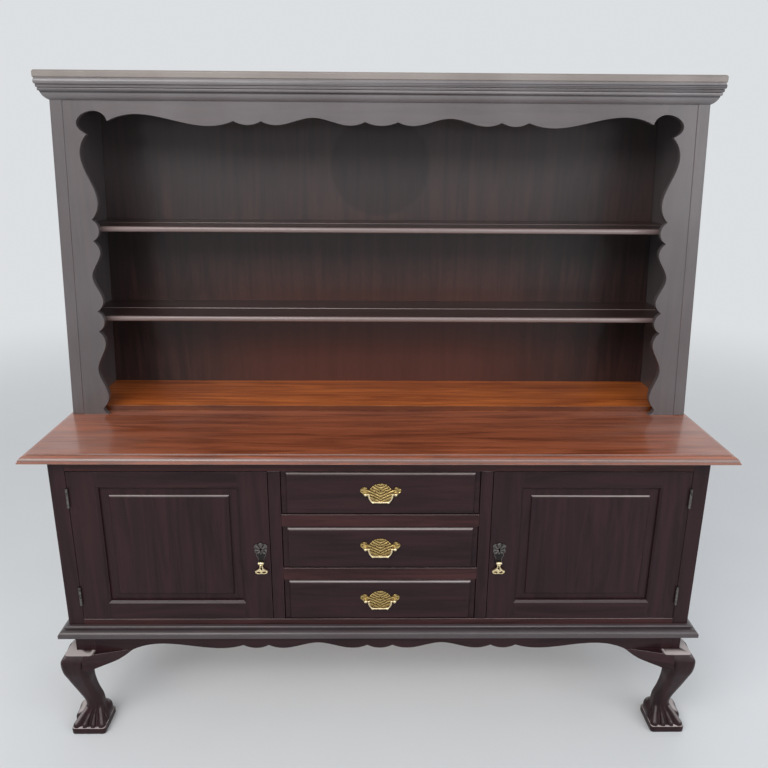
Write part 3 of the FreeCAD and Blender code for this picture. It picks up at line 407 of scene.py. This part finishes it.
def paint_cad_nodes():
    """Gives each CAD node its finish, and returns the finishes by name."""
    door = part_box("door_panel_right")
    tongue = 0.008
    rails = (door[0].x + tongue, door[1].x - tongue)
    field_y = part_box("pull_plate_top")[1].y
    # The tints add marks and painted light: sheen, highlights and shade.
    finishes = {
        "counter_top": wood("counter_polish", *RED, "X", 0.26, 0.5, tint=painted_sheen_ends),
        "hutch_bottom_board": wood("hutch_floor_polish", (0.28, 0.058, 0.012), (0.70, 0.185, 0.036), "X",
                                   0.26, 0.3, tint=painted_shade_front),
        "hutch_back_panel": wood("back_panel_polish", (0.016, 0.008, 0.0075), (0.048, 0.021, 0.018), "Z",
                                 0.38, 0.2, wear=0, tint=back_panel_marks, specular=0.4),
        "brass": brass("cast_brass", (0.74, 0.54, 0.22), (0.075, 0.045, 0.016), 0.35,
                       (field_y - 0.0021, field_y - 0.0013)),
        "tarnished": brass("tarnished_brass", (0.36, 0.33, 0.31), (0.035, 0.032, 0.032), 0.6,
                           (FACE_Y - 0.0022, FACE_Y - 0.0014)),
        "bail": brass("rubbed_brass", (0.98, 0.84, 0.55), (0.42, 0.29, 0.12), 0.2),
        "steel": steel("lock_steel"),
        "frame_x": wood("hutch_polish_x", *FRAME, "X", tint=bloom_and_sheen(0.55)),
        "frame_z": wood("hutch_polish_z", *FRAME, "Z", tint=bloom_and_sheen(0.50)),
        "crown": wood("cornice_polish", *FRAME, "X", tint=bloom_and_sheen(0.85, (0.20, 0.185, 0.19))),
        "top": wood("top_board_polish", *FRAME, "X", 0.45, 0.1, tint=bloom_and_sheen(0.9, (0.28, 0.245, 0.225)),
                    specular=0.35),
        "base_x": base_polish("base_polish_x", "X"),
        "base_y": base_polish("base_polish_y", "Y"),
        "base_z": base_polish("base_polish_z", "Z"),
        "waist": wood("waist_polish", *DARK, "X", 0.28, 0.2, tint=bloom_and_sheen(0.28), specular=0.4),
        "door": base_polish("door_polish", "Z", cross=rails),
        "rails": base_polish("rail_polish", "X", RAIL),
        "shelf": wood("shelf_polish", (0.014, 0.006, 0.005), (0.046, 0.018, 0.014), "X", 0.28,
                      tint=bloom_and_sheen(0.05, nose_highlight=0.85)),
        "inside_x": wood("inside_wood_x", *RAW, "X", 0.6, 0.0, wear=0.1),
        "inside_y": wood("inside_wood_y", *RAW, "Y", 0.6, 0.0, wear=0.1),
    }
    kind_of = {
        "hutch_side": "frame_z", "hutch_stile": "frame_z", "hutch_apron": "frame_x", "hutch_top": "top",
        "cornice": "crown", "hutch_shelf": "shelf", "apron_front": "base_x", "aprons_side": "base_y",
        "waist": "waist", "face_stiles": "base_z", "face_rails": "rails", "base_side": "base_z",
        "base_back": "inside_x", "base_bottom": "inside_x", "back_rail": "inside_x", "partition": "inside_y",
        "drawer_runners": "inside_y", "cupboard": "inside_x", "shelf_cleats": "inside_y", "knee": "base_x",
        "leg": "base_z", "door_frame": "door", "door_panel": "base_z", "drawer_front": "base_x",
        "drawer_box": "inside_y", "pull_plate": "brass", "bail": "brass", "drop": "brass",
        "escutcheon": "tarnished", "carcase_hinge": "tarnished", "door_hinge": "tarnished", "lock": "steel",
    }
    for name, piece in nodes.items():
        kind = name
        if name not in finishes:
            kind = next(kind for start, kind in kind_of.items() if name.startswith(start))
        piece.data.materials.clear()
        piece.data.materials.append(finishes[kind])
    return finishes


LEFT_SHARP = ("counter_top", "leg", "bail", "pull", "escutcheon", "drop", "door_hinge", "carcase_hinge")
USUAL_ROUNDING = 0.0010
ROUNDING = {"cornice": 0.0006, "waist": 0.0008, "knee": 0.003, "hutch_stile": 0.0016, "hutch_apron": 0.0016,
            "hutch_side": 0.0018}


def ease_edges():
    """Rounds the sharp edges of the boards a little, as sanding does."""
    for name, piece in nodes.items():
        if name.startswith(LEFT_SHARP):
            continue
        width = next((value for start, value in ROUNDING.items() if name.startswith(start)), USUAL_ROUNDING)
        weld = piece.modifiers.new("weld", "WELD")
        weld.merge_threshold = 0.00002
        bevel = piece.modifiers.new("ease", "BEVEL")
        bevel.width = width
        bevel.segments = 2
        bevel.limit_method = "ANGLE"
        bevel.angle_limit = math.radians(40)
        bevel.harden_normals = True


# ------------------------------------------------------------------ mesh builders
def add_piece(name, points, faces, body, node, slot, finish, smooth=35):
    """A mesh in place of a CAD node; it rides on the node's body. Smooth is the sharpest smooth edge."""
    mesh = bpy.data.meshes.new(name)
    mesh.from_pydata(points, [], faces)
    mesh.validate()
    mesh.shade_smooth()
    mesh.set_sharp_from_angle(angle=math.radians(smooth))
    mesh.materials.append(finishes[finish])
    piece = bpy.data.objects.new(name, mesh)
    scene.collection.objects.link(piece)
    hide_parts(node)
    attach(piece, body)
    return piece


def joined(*parts):
    """Several (points, faces) as one."""
    points, faces = [], []
    for more_points, more_faces in parts:
        start = len(points)
        points += more_points
        faces += [tuple(start + corner for corner in face) for face in more_faces]
    return points, faces


def mirrored(part, axis):
    """The part mirrored through the plane across an axis, with its faces turned to look outwards."""
    flip = Vector([-1 if index == axis else 1 for index in range(3)])
    points, faces = part
    return [Vector(point) * flip for point in points], [tuple(reversed(face)) for face in faces]


def moved(part, by):
    points, faces = part
    return [point + by for point in points], faces


def stack(rings):
    """A closed skin over rings with the same number of points, from the first ring up to the last."""
    count = len(rings[0])
    points = [point for ring in rings for point in ring]
    faces = []
    for level in range(len(rings) - 1):
        low = level * count
        for index in range(count):
            after = (index + 1) % count
            faces.append((low + index, low + after, low + count + after, low + count + index))
    for ring, turn in ((rings[0], -1), (rings[-1], 1)):
        start = 0 if turn < 0 else len(points) - count
        corners = [start + index for index in range(count)]
        faces.append(tuple(corners[::turn]))
    return points, faces


def turned(profile, place, axis, count=32):
    """A solid turned about an axis through a place; profile rows are (distance along the axis, radius)."""
    axis = Vector(axis).normalized()
    side = axis.orthogonal().normalized()
    other = axis.cross(side)
    rings = []
    for along, radius in profile:
        rings.append([Vector(place) + axis * along
                      + (side * math.cos(turn) + other * math.sin(turn)) * max(radius, 0.00005)
                      for turn in (math.tau * index / count for index in range(count))])
    return stack(rings)


def swept(route, radii, count=20):
    """A round bar along a route that lies in one plane of constant y, with a radius at each point."""
    rings = []
    front = Vector((0, -1, 0))
    for index, place in enumerate(route):
        before = route[max(index - 1, 0)]
        after = route[min(index + 1, len(route) - 1)]
        side = (after - before).normalized().cross(front)
        rings.append([place + (front * math.cos(turn) - side * math.sin(turn)) * radii[index]
                      for turn in (math.tau * step / count for step in range(count))])
    return stack(rings)


def smooth_path(corners, steps, closed=False):
    """Points along a smooth curve through the corners."""
    count = len(corners)
    spans = count if closed else count - 1
    path = []
    for span in range(spans):
        if closed:
            picks = [corners[(span + shift) % count] for shift in (-1, 0, 1, 2)]
        else:
            picks = [corners[min(max(span + shift, 0), count - 1)] for shift in (-1, 0, 1, 2)]
        before, start, end, after = [Vector(pick) for pick in picks]
        for step in range(steps):
            t = step / steps
            path.append(0.5 * (2 * start + (end - before) * t
                               + (2 * before - 5 * start + 4 * end - after) * t * t
                               + (3 * start - before - 3 * end + after) * t ** 3))
    if not closed:
        path.append(Vector(corners[-1]))
    return path


def inside_loop(point, loop):
    """Whether a point in the plane lies inside a closed loop."""
    x, z = point
    hit = False
    for (x0, z0), (x1, z1) in zip(loop, loop[1:] + loop[:1]):
        if (z0 > z) != (z1 > z) and x < x0 + (z - z0) / (z1 - z0) * (x1 - x0):
            hit = not hit
    return hit


def relief(outline, holes, height, pitch, back_y):
    """A plate in the XZ plane: height gives its thickness at (x, z) and the distance to its rim."""
    loops = [outline] + holes
    rim = KDTree(sum(len(loop) for loop in loops))
    flat, edges = [], []
    for loop in loops:
        start = len(flat)
        for index, corner in enumerate(loop):
            rim.insert((corner[0], corner[1], 0), len(flat))
            flat.append(Vector(corner))
            edges.append((start + index, start + (index + 1) % len(loop)))
    rim.balance()
    low_x, high_x = min(x for x, _ in outline), max(x for x, _ in outline)
    low_z, high_z = min(z for _, z in outline), max(z for _, z in outline)
    clear = 0.6 * pitch
    row_step = 0.866 * pitch
    row = 0
    z = low_z
    while z < high_z:
        x = low_x + (pitch / 2 if row % 2 else 0)
        while x < high_x:
            near = rim.find((x, z, 0))[2]
            if near > clear and inside_loop((x, z), outline) and not any(
                    inside_loop((x, z), hole) for hole in holes):
                flat.append(Vector((x, z)))
            x += pitch
        z += row_step
        row += 1
    corners, _, triangles, _, _, _ = delaunay_2d_cdt(flat, edges, [], 1, 1e-7)
    kept = []
    for triangle in triangles:
        centre = sum((corners[index] for index in triangle), Vector((0, 0))) / 3
        if not any(inside_loop(centre, hole) for hole in holes):
            kept.append(triangle)
    count = len(corners)
    front = [Vector((x, back_y - height(x, z, rim.find((x, z, 0))[2]), z)) for x, z in corners]
    back = [Vector((x, back_y, z)) for x, z in corners]
    faces = [tuple(triangle) for triangle in kept] + [tuple(count + i for i in reversed(t)) for t in kept]
    sides = {}
    for triangle in kept:
        for start, end in zip(triangle, triangle[1:] + triangle[:1]):
            if (end, start) in sides:
                del sides[(end, start)]
            else:
                sides[(start, end)] = True
    faces += [(end, start, count + start, count + end) for start, end in sides]
    return front + back, faces


def rounded_rim(away, radius):
    """The drop of a rounded rim at a distance from the edge."""
    if away >= radius:
        return 0.0
    return radius - math.sqrt(radius ** 2 - (radius - away) ** 2)


def ridge(place, middle, half_width, rise):
    """The height of a ridge that falls to nothing on both sides of its middle."""
    return rise * max(0, 1 - abs(place - middle) / half_width)


def ring_loop(centre, radius, count):
    return [(centre[0] + radius * math.cos(turn), centre[1] + radius * math.sin(turn))
            for turn in (math.tau * index / count for index in range(count))]


def mound(x, z, centre, radius, rise):
    """A round boss on a plate."""
    away = math.hypot(x - centre[0], z - centre[1]) / radius
    return rise * math.sqrt(1 - away * away) if away < 1 else 0.0


# ------------------------------------------------------------------ carved legs
# Each row: height, shift of the middle to the outside, half width and corner radius, from the block down.
LEG_ROWS = ((0.2530, 0.0120, 0.0380, 0.010), (0.2430, 0.0225, 0.0342, 0.011),
            (0.2328, 0.0300, 0.0312, 0.012), (0.2024, 0.0290, 0.0310, 0.015),
            (0.1771, 0.0235, 0.0300, 0.017), (0.1518, 0.0190, 0.0270, 0.017),
            (0.1164, 0.0110, 0.0240, 0.017), (0.0860, 0.0035, 0.0235, 0.0185),
            (0.0620, 0.0010, 0.0235, 0.019))
FLARE_FOOT = (0.0200, 0.0100, 0.0430, 0.009)
PAD_HALF = 0.046
PAD_CORNER = 0.008
LEDGE_Z = LEG_ROWS[0][0]
ANKLE_Z = LEG_ROWS[-1][0]
PAD_Z = FLARE_FOOT[0]
FOOT_SHIFT = FLARE_FOOT[1]
ANKLE_SHIFT = LEG_ROWS[-1][1]
TOE_GAP = 0.0220
TOE_RADIUS = 0.0112
HEEL_RADIUS = 0.0213
CHEEK_RADIUS = 0.0193
HOLLOW_RADIUS = 0.0042
HOLLOW_TOP = 0.075
HOLLOW_FADE = 0.025
PAW_TOP = 0.078
LEDGE_ROUNDING = 0.0015


def leg_section(z):
    """Shift, half width and corner radius of the leg at a height."""
    if z <= ANKLE_Z:
        share = min((ANKLE_Z - z) / (ANKLE_Z - PAD_Z), 1)
        return [a + (b - a) * share for a, b in zip(LEG_ROWS[-1][1:], FLARE_FOOT[1:])]
    row = next(index for index in range(len(LEG_ROWS) - 1) if LEG_ROWS[index + 1][0] <= z)
    high, low = LEG_ROWS[row], LEG_ROWS[row + 1]
    above = LEG_ROWS[max(row - 1, 0)]
    below = LEG_ROWS[min(row + 2, len(LEG_ROWS) - 1)]
    span = high[0] - low[0]
    t = (z - low[0]) / span
    section = []
    for index in (1, 2, 3):
        low_slope = (high[index] - below[index]) / (high[0] - below[0]) * span
        high_slope = (above[index] - low[index]) / (above[0] - low[0]) * span
        section.append(low[index] * (1 + 2 * t) * (1 - t) ** 2 + low_slope * t * (1 - t) ** 2
                       + high[index] * t * t * (3 - 2 * t) + high_slope * t * t * (t - 1))
    return section


def square_reach(turn, half, corner):
    """From the middle of a square with round corners to its side, in a direction."""
    u, v = abs(math.cos(turn)), abs(math.sin(turn))
    core = half - corner
    reach = half / max(u, v)
    if min(u, v) * reach <= core:
        return reach
    along = core * (u + v)
    return along + math.sqrt(max(along * along - 2 * core * core + corner * corner, 0))


def smooth_least(a, b, blend):
    """The smaller of two distances, with a fillet where they are about equal."""
    share = max(blend - abs(a - b), 0) / blend
    return min(a, b) - share * share * blend / 4


def from_bar(point, start, end):
    """Distance from the middle line of a bar."""
    along = end - start
    share = min(max((point - start).dot(along) / along.length_squared, 0), 1)
    return (point - start - along * share).length


def paw_bars():
    """Toes, hollows, heel and cheeks, as bars in (outside, front, up) from the block's middle."""
    toes, hollows = [], []
    for step in (-1.5, -0.5, 0.5, 1.5):
        aside = step * TOE_GAP
        toes.append((Vector((ANKLE_SHIFT + aside / 3, ANKLE_SHIFT + 0.011, ANKLE_Z)),
                     Vector((FOOT_SHIFT + aside, FOOT_SHIFT + PAD_HALF - 0.013, PAD_Z + 0.0015))))
    for step in (-1, 0, 1):
        aside = step * TOE_GAP
        hollows.append((Vector((ANKLE_SHIFT + aside * 0.45, ANKLE_SHIFT + 0.0255, ANKLE_Z)),
                        Vector((FOOT_SHIFT + aside, FOOT_SHIFT + 0.0430, PAD_Z))))
    heel = [Vector((FOOT_SHIFT + side * 0.0225, FOOT_SHIFT - PAD_HALF + 0.0215, 0.034)) for side in (-1, 1)]
    cheeks = []
    for side, end in zip((-1, 1), heel):
        hollows.append((Vector((ANKLE_SHIFT + side * 0.0255, ANKLE_SHIFT + 0.014, ANKLE_Z)),
                        Vector((FOOT_SHIFT + side * 0.0440, FOOT_SHIFT + 0.024, PAD_Z + 0.006))))
        cheeks.append((end, Vector((FOOT_SHIFT + side * 0.0262, FOOT_SHIFT + 0.004, 0.027))))
    return toes, hollows, heel, cheeks


def paw_reach(turn, z, bars):
    """From the middle of the leg to the carved surface of the paw, in a direction."""
    toes, hollows, heel, cheeks = bars
    shift, half, corner = leg_section(z)
    flat = square_reach(turn, half, corner)
    fade = min(max((HOLLOW_TOP - z) / HOLLOW_FADE, 0), 1)
    near, far = 0.4 * flat, 1.5 * flat
    while far - near > 0.0001:
        reach = (near + far) / 2
        point = Vector((shift + reach * math.cos(turn), shift + reach * math.sin(turn), z))
        body = reach - flat
        for start, end in toes:
            body = smooth_least(body, from_bar(point, start, end) - TOE_RADIUS, 0.004)
        body = smooth_least(body, from_bar(point, *heel) - HEEL_RADIUS, 0.006)
        for start, end in cheeks:
            body = smooth_least(body, from_bar(point, start, end) - CHEEK_RADIUS, 0.006)
        for start, end in hollows:
            body = -smooth_least(-body, from_bar(point, start, end) - HOLLOW_RADIUS * fade, 0.003)
        near, far = (reach, far) if body < 0 else (near, reach)
    return near


def leg_rings():
    """The rings of the leg from the floor to the ledge, in (outside, front, up) from the block's middle."""
    count = 128
    turns = [math.tau * index / count for index in range(count)]
    bars = paw_bars()

    def ring(z, shift, reach):
        return [Vector((shift + reach(turn) * math.cos(turn), shift + reach(turn) * math.sin(turn), z))
                for turn in turns]

    pad = ((0, 0.0035), (0.0008, 0.0018), (0.0022, 0.0006), (0.0042, 0), (PAD_Z - 0.0026, 0),
           (PAD_Z - 0.0012, 0.0005), (PAD_Z - 0.0003, 0.0016), (PAD_Z, 0.0030))
    rings = [ring(z, FOOT_SHIFT, lambda turn: square_reach(turn, PAD_HALF - inset, PAD_CORNER))
             for z, inset in pad]
    z = PAD_Z + 0.0004
    while z < PAW_TOP:
        reaches = {turn: paw_reach(turn, z, bars) for turn in turns}
        rings.append(ring(z, leg_section(z)[0], reaches.get))
        z += 0.0014
    while z < LEDGE_Z - 0.002:
        shift, half, corner = leg_section(z)
        rings.append(ring(z, shift, lambda turn: square_reach(turn, half, corner)))
        z += 0.003
    shift, half, corner = leg_section(LEDGE_Z - LEDGE_ROUNDING)
    for drop, inset in ((LEDGE_ROUNDING, 0), (0.0005, 0.0005), (0, LEDGE_ROUNDING)):
        rings.append(ring(LEDGE_Z - drop, shift, lambda turn: square_reach(turn, half - inset, corner)))
    return rings


def carve_legs():
    """Four cabriole legs with carved paws, under the blocks that carry them."""
    rings = leg_rings()
    block_half = 0.025
    for end, forward in (("front", -1), ("back", 1)):
        low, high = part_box(f"leg_{end}_right")
        middle_x = low.x - FOOT_SHIFT + PAD_HALF
        inner_y = high.y if forward < 0 else low.y
        middle_y = inner_y - forward * (FOOT_SHIFT - PAD_HALF)
        placed = [[Vector((middle_x + u, middle_y + forward * v, z)) for u, v, z in ring] for ring in rings]
        skin = stack(placed)
        square = [(middle_x + a * block_half, middle_y + b * block_half)
                  for a, b in ((-1, -1), (1, -1), (1, 1), (-1, 1))]
        block = stack([[Vector((x, y, z)) for x, y in square] for z in (LEDGE_Z - 0.001, high.z)])
        if forward < 0:
            skin = skin[0], [tuple(reversed(face)) for face in skin[1]]
        right = joined(skin, block)
        for side_name, leg in (("right", right), ("left", mirrored(right, 0))):
            add_piece(f"carved_leg_{end}_{side_name}", *leg, "carcase", f"leg_{end}_{side_name}", "base_wood",
                      "base_z", 50)


# ------------------------------------------------------------------ pulls
PLATE_BASE = 0.0012
PLATE_TOP = 0.031
POST_X = 0.038
POST_RISE = 0.004
NECK_RADIUS = 0.0029
BALL_RADIUS = 0.0046
BAIL_CORNER_X = 0.0195
BAIL_BAR_Z = -0.0175
PIN_X = 0.0295
RELIEF_PITCH = 0.0009


def both_halves(right):
    """A closed loop from its right half, which runs down from the top to the foot of the middle."""
    return right + [(-x, z) for x, z in reversed(right) if x > 0.00001]


def millimetres(corners):
    return [(0.001 * x, 0.001 * z) for x, z in corners]


def plate_outline():
    """A bat-wing plate: a beaded dome, round notches, scrolled ears and a body tapering to the foot."""
    radius, middle_z = 31.8, -0.8
    end = math.atan2(16 - middle_z, 27)
    dome = []
    steps = 72
    for step in range(steps):
        turn = math.pi / 2 + (end - math.pi / 2) * step / steps
        bead = abs(math.cos(4.5 * math.pi * step / steps))
        reach = radius - 1.3 * (1 - bead) ** 2
        dome.append((reach * math.cos(turn), middle_z + reach * math.sin(turn)))
    runs = [[(27, 16), (28.2, 14.2), (31, 13.4), (33.4, 14.8), (34, 17.4)],
            [(34, 17.4), (35.4, 19.6), (39.5, 20.5), (44.5, 19.6), (49.5, 16.6), (52, 11.8), (51, 7.2),
             (47.6, 4.4), (45.6, 1.4), (43, -2)],
            [(43, -2), (39.6, -1.8), (35.6, -3.2), (32, -6)],
            [(32, -6), (29.4, -10.4), (24.6, -14), (20.4, -16), (17, -20)],
            [(17, -20), (12, -18.8), (6.4, -19.7), (0, -19.2)]]
    right = [tuple(point) for point in dome]
    for run in runs:
        right += [tuple(point) for point in smooth_path(run, 6)][:-1]
    right.append((0, -19.2))
    return both_halves(millimetres(right))


def plate_height(x, z, away):
    """Thickness of the plate: a raised rim, beads along the dome, and rows of leaves that sweep upwards."""
    rim = ridge(away, 0.0011, 0.0011, 0.0009)
    spread = math.atan2(x, z + 0.026)
    sweep = z - 0.70 * math.hypot(x, 0.004) + 6 * x * x
    rows = math.cos(math.pi * sweep / 0.0076) ** 2
    leaves = 0.0018 * rows * (0.75 + 0.25 * math.cos(9 * spread) ** 2) * min(away / 0.003, 1)
    dome = math.hypot(x, z + 0.0008)
    groove = ridge(dome, 0.0268, 0.0012, 0.0006) if z > 0.010 and abs(x) < 0.028 else 0
    beads = 0
    for index in range(9):
        turn = math.radians(90 + (index - 4) * 14.4)
        beads = max(beads, mound(x, z, (0.0292 * math.cos(turn), -0.0008 + 0.0292 * math.sin(turn)),
                                 0.0027, 0.0017))
    posts = max(mound(x, z, (side * POST_X, POST_RISE), 0.0075, 0.0016) for side in (-1, 1))
    curls = max(mound(x, z, (side * 0.0405, 0.0150), 0.0036, 0.0012) for side in (-1, 1))
    carved = rim + max(leaves - groove, 0) * 0.8
    return PLATE_BASE + max(carved, beads, posts, curls) - rounded_rim(away, 0.0008)


def make_pulls():
    """Relief plates with ball posts, and turned bails, on the three drawers."""
    outline = plate_outline()
    spots = [(0, -9.5, 1.6), (9.5, -10.5, 1.3), (18, -6, 1.4), (23, 3.5, 1.3), (13, 8.5, 1.2), (0, 12, 1.5),
             (45.5, 10.5, 1.1)]
    holes = []
    for x, z, radius in spots:
        for side in ((1, -1) if x else (1,)):
            holes.append(ring_loop((side * 0.001 * x, 0.001 * z), 0.001 * radius, 12))
    plate = relief(outline, holes, plate_height, RELIEF_PITCH, 0)
    for name in DRAWERS:
        low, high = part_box(f"pull_plate_{name}")
        field_y = high.y
        middle_z = high.z - PLATE_TOP
        body = f"drawer_{name}"
        post_y = low.y + BALL_RADIUS
        placed = moved(plate, Vector((0, field_y, middle_z)))
        posts = []
        for side in (-1, 1):
            foot = Vector((side * POST_X, field_y, middle_z + POST_RISE))
            rise = field_y - post_y
            profile = [(0, 0.0048), (0.0022, 0.0048), (0.0030, 0.0034), (0.0042, NECK_RADIUS),
                       (rise - 0.0036, NECK_RADIUS)]
            profile += [(rise - BALL_RADIUS * math.cos(turn), BALL_RADIUS * math.sin(turn))
                        for turn in (math.radians(angle) for angle in range(40, 181, 10))]
            posts.append(turned(profile, foot, (0, -1, 0), 28))
        pull = add_piece(f"relief_plate_{name}", *joined(placed, *posts), body, f"pull_plate_{name}",
                         "brass", "brass")
        pull.data.materials.append(finishes["bail"])
        relief_front = field_y - 0.0045
        for polygon in pull.data.polygons:
            if polygon.center.y < relief_front:
                polygon.material_index = 1
        add_piece(f"turned_bail_{name}", *bail_mesh(post_y, middle_z), f"bail_{name}", f"bail_{name}",
                  "brass", "bail")


def bail_mesh(y, middle_z):
    """A bail with turned arms, knobs at the corners and a bar that swells in the middle."""
    arm = millimetres([(29.5, 4), (29.4, 0.5), (28.6, -5), (26.2, -10.4), (22.8, -14.8), (19.5, -17.5)])
    right = smooth_path(arm, 8)
    bar_steps = 14
    bar = [Vector((BAIL_CORNER_X - BAIL_CORNER_X * step / bar_steps, BAIL_BAR_Z))
           for step in range(1, bar_steps + 1)]
    half = [Vector((x, y, middle_z + z)) for x, z in right + bar]
    count = len(half)

    def thickness(index):
        x = abs(half[index].x)
        z = half[index].z - middle_z
        knob = 0.0013 * math.exp(-(((x - BAIL_CORNER_X) ** 2 + (z - BAIL_BAR_Z) ** 2) / 0.0023 ** 2))
        collar = 0.0007 * math.exp(-((z + 0.0030) / 0.0014) ** 2)
        middle = 0.0006 * math.exp(-(x / 0.004) ** 2) if z < -0.016 else 0
        head = 0.0008 * math.exp(-((z - POST_RISE) / 0.0018) ** 2)
        return 0.0020 + knob + collar + middle + head

    radii = [thickness(index) for index in range(count)]
    route = half + [Vector((-point.x, point.y, point.z)) for point in reversed(half[:-1])]
    radii += list(reversed(radii[:-1]))
    pins = []
    for side in (-1, 1):
        start = Vector((side * PIN_X, y, middle_z + POST_RISE))
        pins.append(turned([(-0.0022, 0.0012), (-0.0020, 0.0022), (0.0020, 0.0022), (0.0023, 0.0013),
                            (0.0107, 0.0013)], start, (side, 0, 0), 20))
    return joined(swept(route, radii), *pins)


# ------------------------------------------------------------------ escutcheons and drops
PIVOT_FALL = 0.0335
PIVOT_OUT = 0.0065
LUG_RADIUS = 0.0040
LUG_WIDTH = 0.0019
LUG_HALF_HEIGHT = 0.0036
LUG_X = 0.0067


def escutcheon_outline():
    """A scrolled shield with a peak, and a neck that runs down to the lugs of the drop."""
    runs = [[(0, 24), (3.6, 22.6), (6.6, 19.4)],
            [(6.6, 19.4), (9.4, 20.6), (13.6, 19.2), (17.4, 14.6), (17.6, 9.6), (14.4, 5.4)],
            [(14.4, 5.4), (16.4, 2.2), (16, -3.6), (12.4, -8.4)],
            [(12.4, -8.4), (13.4, -12), (12, -16.4), (9.2, -20), (8.6, -26)],
            [(8.6, -26), (8.6, -37.4)]]
    right = []
    for run in runs:
        right += [tuple(point) for point in smooth_path(run, 6)][:-1]
    right += [(8.6, -37.4), (0, -37.4)]
    return both_halves(millimetres(right))


def keyhole_loop():
    """A round hole with a slot below it."""
    top = [(2.6 * math.cos(turn), 5 + 2.6 * math.sin(turn))
           for turn in (math.radians(angle) for angle in range(-55, 236, 15))]
    return millimetres([(1.3, -4)] + top + [(-1.3, -4)])


def escutcheon_height(x, z, away):
    """Thickness of the shield: a raised rim, ribs that fan out above the neck, and a boss in the peak."""
    rim = ridge(away, 0.0012, 0.0012, 0.0009)
    spread = math.atan2(x, z - 0.001)
    ribs = 0.0011 * math.cos(4 * spread) ** 2 * min(away / 0.003, 1) if z > -0.010 else 0
    crown = mound(x, z, (0, 0.0165), 0.0052, 0.0012)
    return PLATE_BASE + max(rim + ribs, crown) - rounded_rim(away, 0.0007)


def drop_outline():
    """A stem that flares to a wide foot."""
    right = [(0, 1), (4.4, 1)]
    for run in ([(4.4, 0), (4.6, -5), (4.4, -9), (5.4, -13), (9, -17.4), (13.4, -20), (16.5, -22)],
                [(16.5, -25), (15.4, -28), (11.6, -30.2), (7.5, -31)]):
        right += [tuple(point) for point in smooth_path(run, 5)]
    return both_halves(millimetres(right + [(0, -30.4)]))


def drop_height(x, z, away):
    """Thickness of the drop: a low rim, and ribs that fan out down the stem."""
    spread = math.atan2(x, z + 0.006)
    ribs = 0.0005 * math.cos(9 * spread) * min(away / 0.002, 1)
    rim = ridge(away, 0.0012, 0.0010, 0.0005)
    return 0.0044 + ribs + rim - rounded_rim(away, 0.0014)


def almond(middle_x, middle_z, half_width, half_height, tilt):
    """A pointed oval hole."""
    loop = []
    count = 20
    for index in range(count):
        turn = math.tau * index / count
        u = half_width * math.cos(turn)
        v = half_height * math.sin(turn) * abs(math.sin(turn))
        loop.append((middle_x + u * math.cos(tilt) - v * math.sin(tilt),
                     middle_z + u * math.sin(tilt) + v * math.cos(tilt)))
    return loop


def make_door_pulls():
    """A shield with a keyhole and a drop under it, on each door."""
    shield = relief(escutcheon_outline(), [keyhole_loop()], escutcheon_height, RELIEF_PITCH, 0)
    openings = [almond(side * 0.0072, -0.0257, 0.0054, 0.0022, side * 0.22) for side in (-1, 1)]
    slit = millimetres([(1.1, -6.4), (1.6, -11), (2.6, -16.4), (0, -20.4), (-2.6, -16.4), (-1.6, -11),
                        (-1.1, -6.4)])
    blade = relief(drop_outline(), openings + [slit], drop_height, RELIEF_PITCH, 0)
    for side_name in SIDES:
        low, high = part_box(f"escutcheon_{side_name}")
        face_y = high.y
        middle_x = (low.x + high.x) / 2
        middle_z = low.z + PIVOT_FALL + 0.004
        pivot = Vector((middle_x, face_y - PIVOT_OUT, middle_z - PIVOT_FALL))
        placed = moved(shield, Vector((middle_x, face_y, middle_z)))
        lugs = []
        for side in (-1, 1):
            inner = pivot + Vector((side * LUG_X, 0, 0))
            collar = [(0, 0.0036), (0.0003, LUG_RADIUS), (0.0016, LUG_RADIUS), (LUG_WIDTH, 0.0034)]
            lugs.append(turned(collar, inner, (side, 0, 0), 28))
            x0, x1 = sorted((inner.x, inner.x + side * LUG_WIDTH))
            corners = [(x0, pivot.y), (x1, pivot.y), (x1, face_y - 0.001), (x0, face_y - 0.001)]
            lugs.append(stack([[Vector((x, y, z)) for x, y in corners]
                               for z in (pivot.z - LUG_HALF_HEIGHT, pivot.z + LUG_HALF_HEIGHT)]))
        add_piece(f"relief_escutcheon_{side_name}", *joined(placed, *lugs), f"door_{side_name}",
                  f"escutcheon_{side_name}", "tarnished_brass", "tarnished")
        blade_back = Vector((middle_x, pivot.y + 0.0025, pivot.z))
        hung = moved(blade, blade_back)
        half = [(0.0016, 0.0040), (0.0030, 0.0034), (0.0044, 0.0036), (0.0052, 0.0045), (0.0063, 0.0043),
                (0.0065, 0.0030)]
        profile = [(-along, radius) for along, radius in reversed(half)] + [(0, 0.0044)] + half
        spool = turned(profile, pivot, (1, 0, 0), 28)
        add_piece(f"cast_drop_{side_name}", *joined(hung, spool), f"drop_{side_name}",
                  f"drop_pull_{side_name}", "brass", "bail")


place_camera()
light_the_room()
lay_floor()
finishes = paint_cad_nodes()
carve_legs()
make_pulls()
make_door_pulls()
ease_edges()

scene.view_settings.view_transform = "Standard"
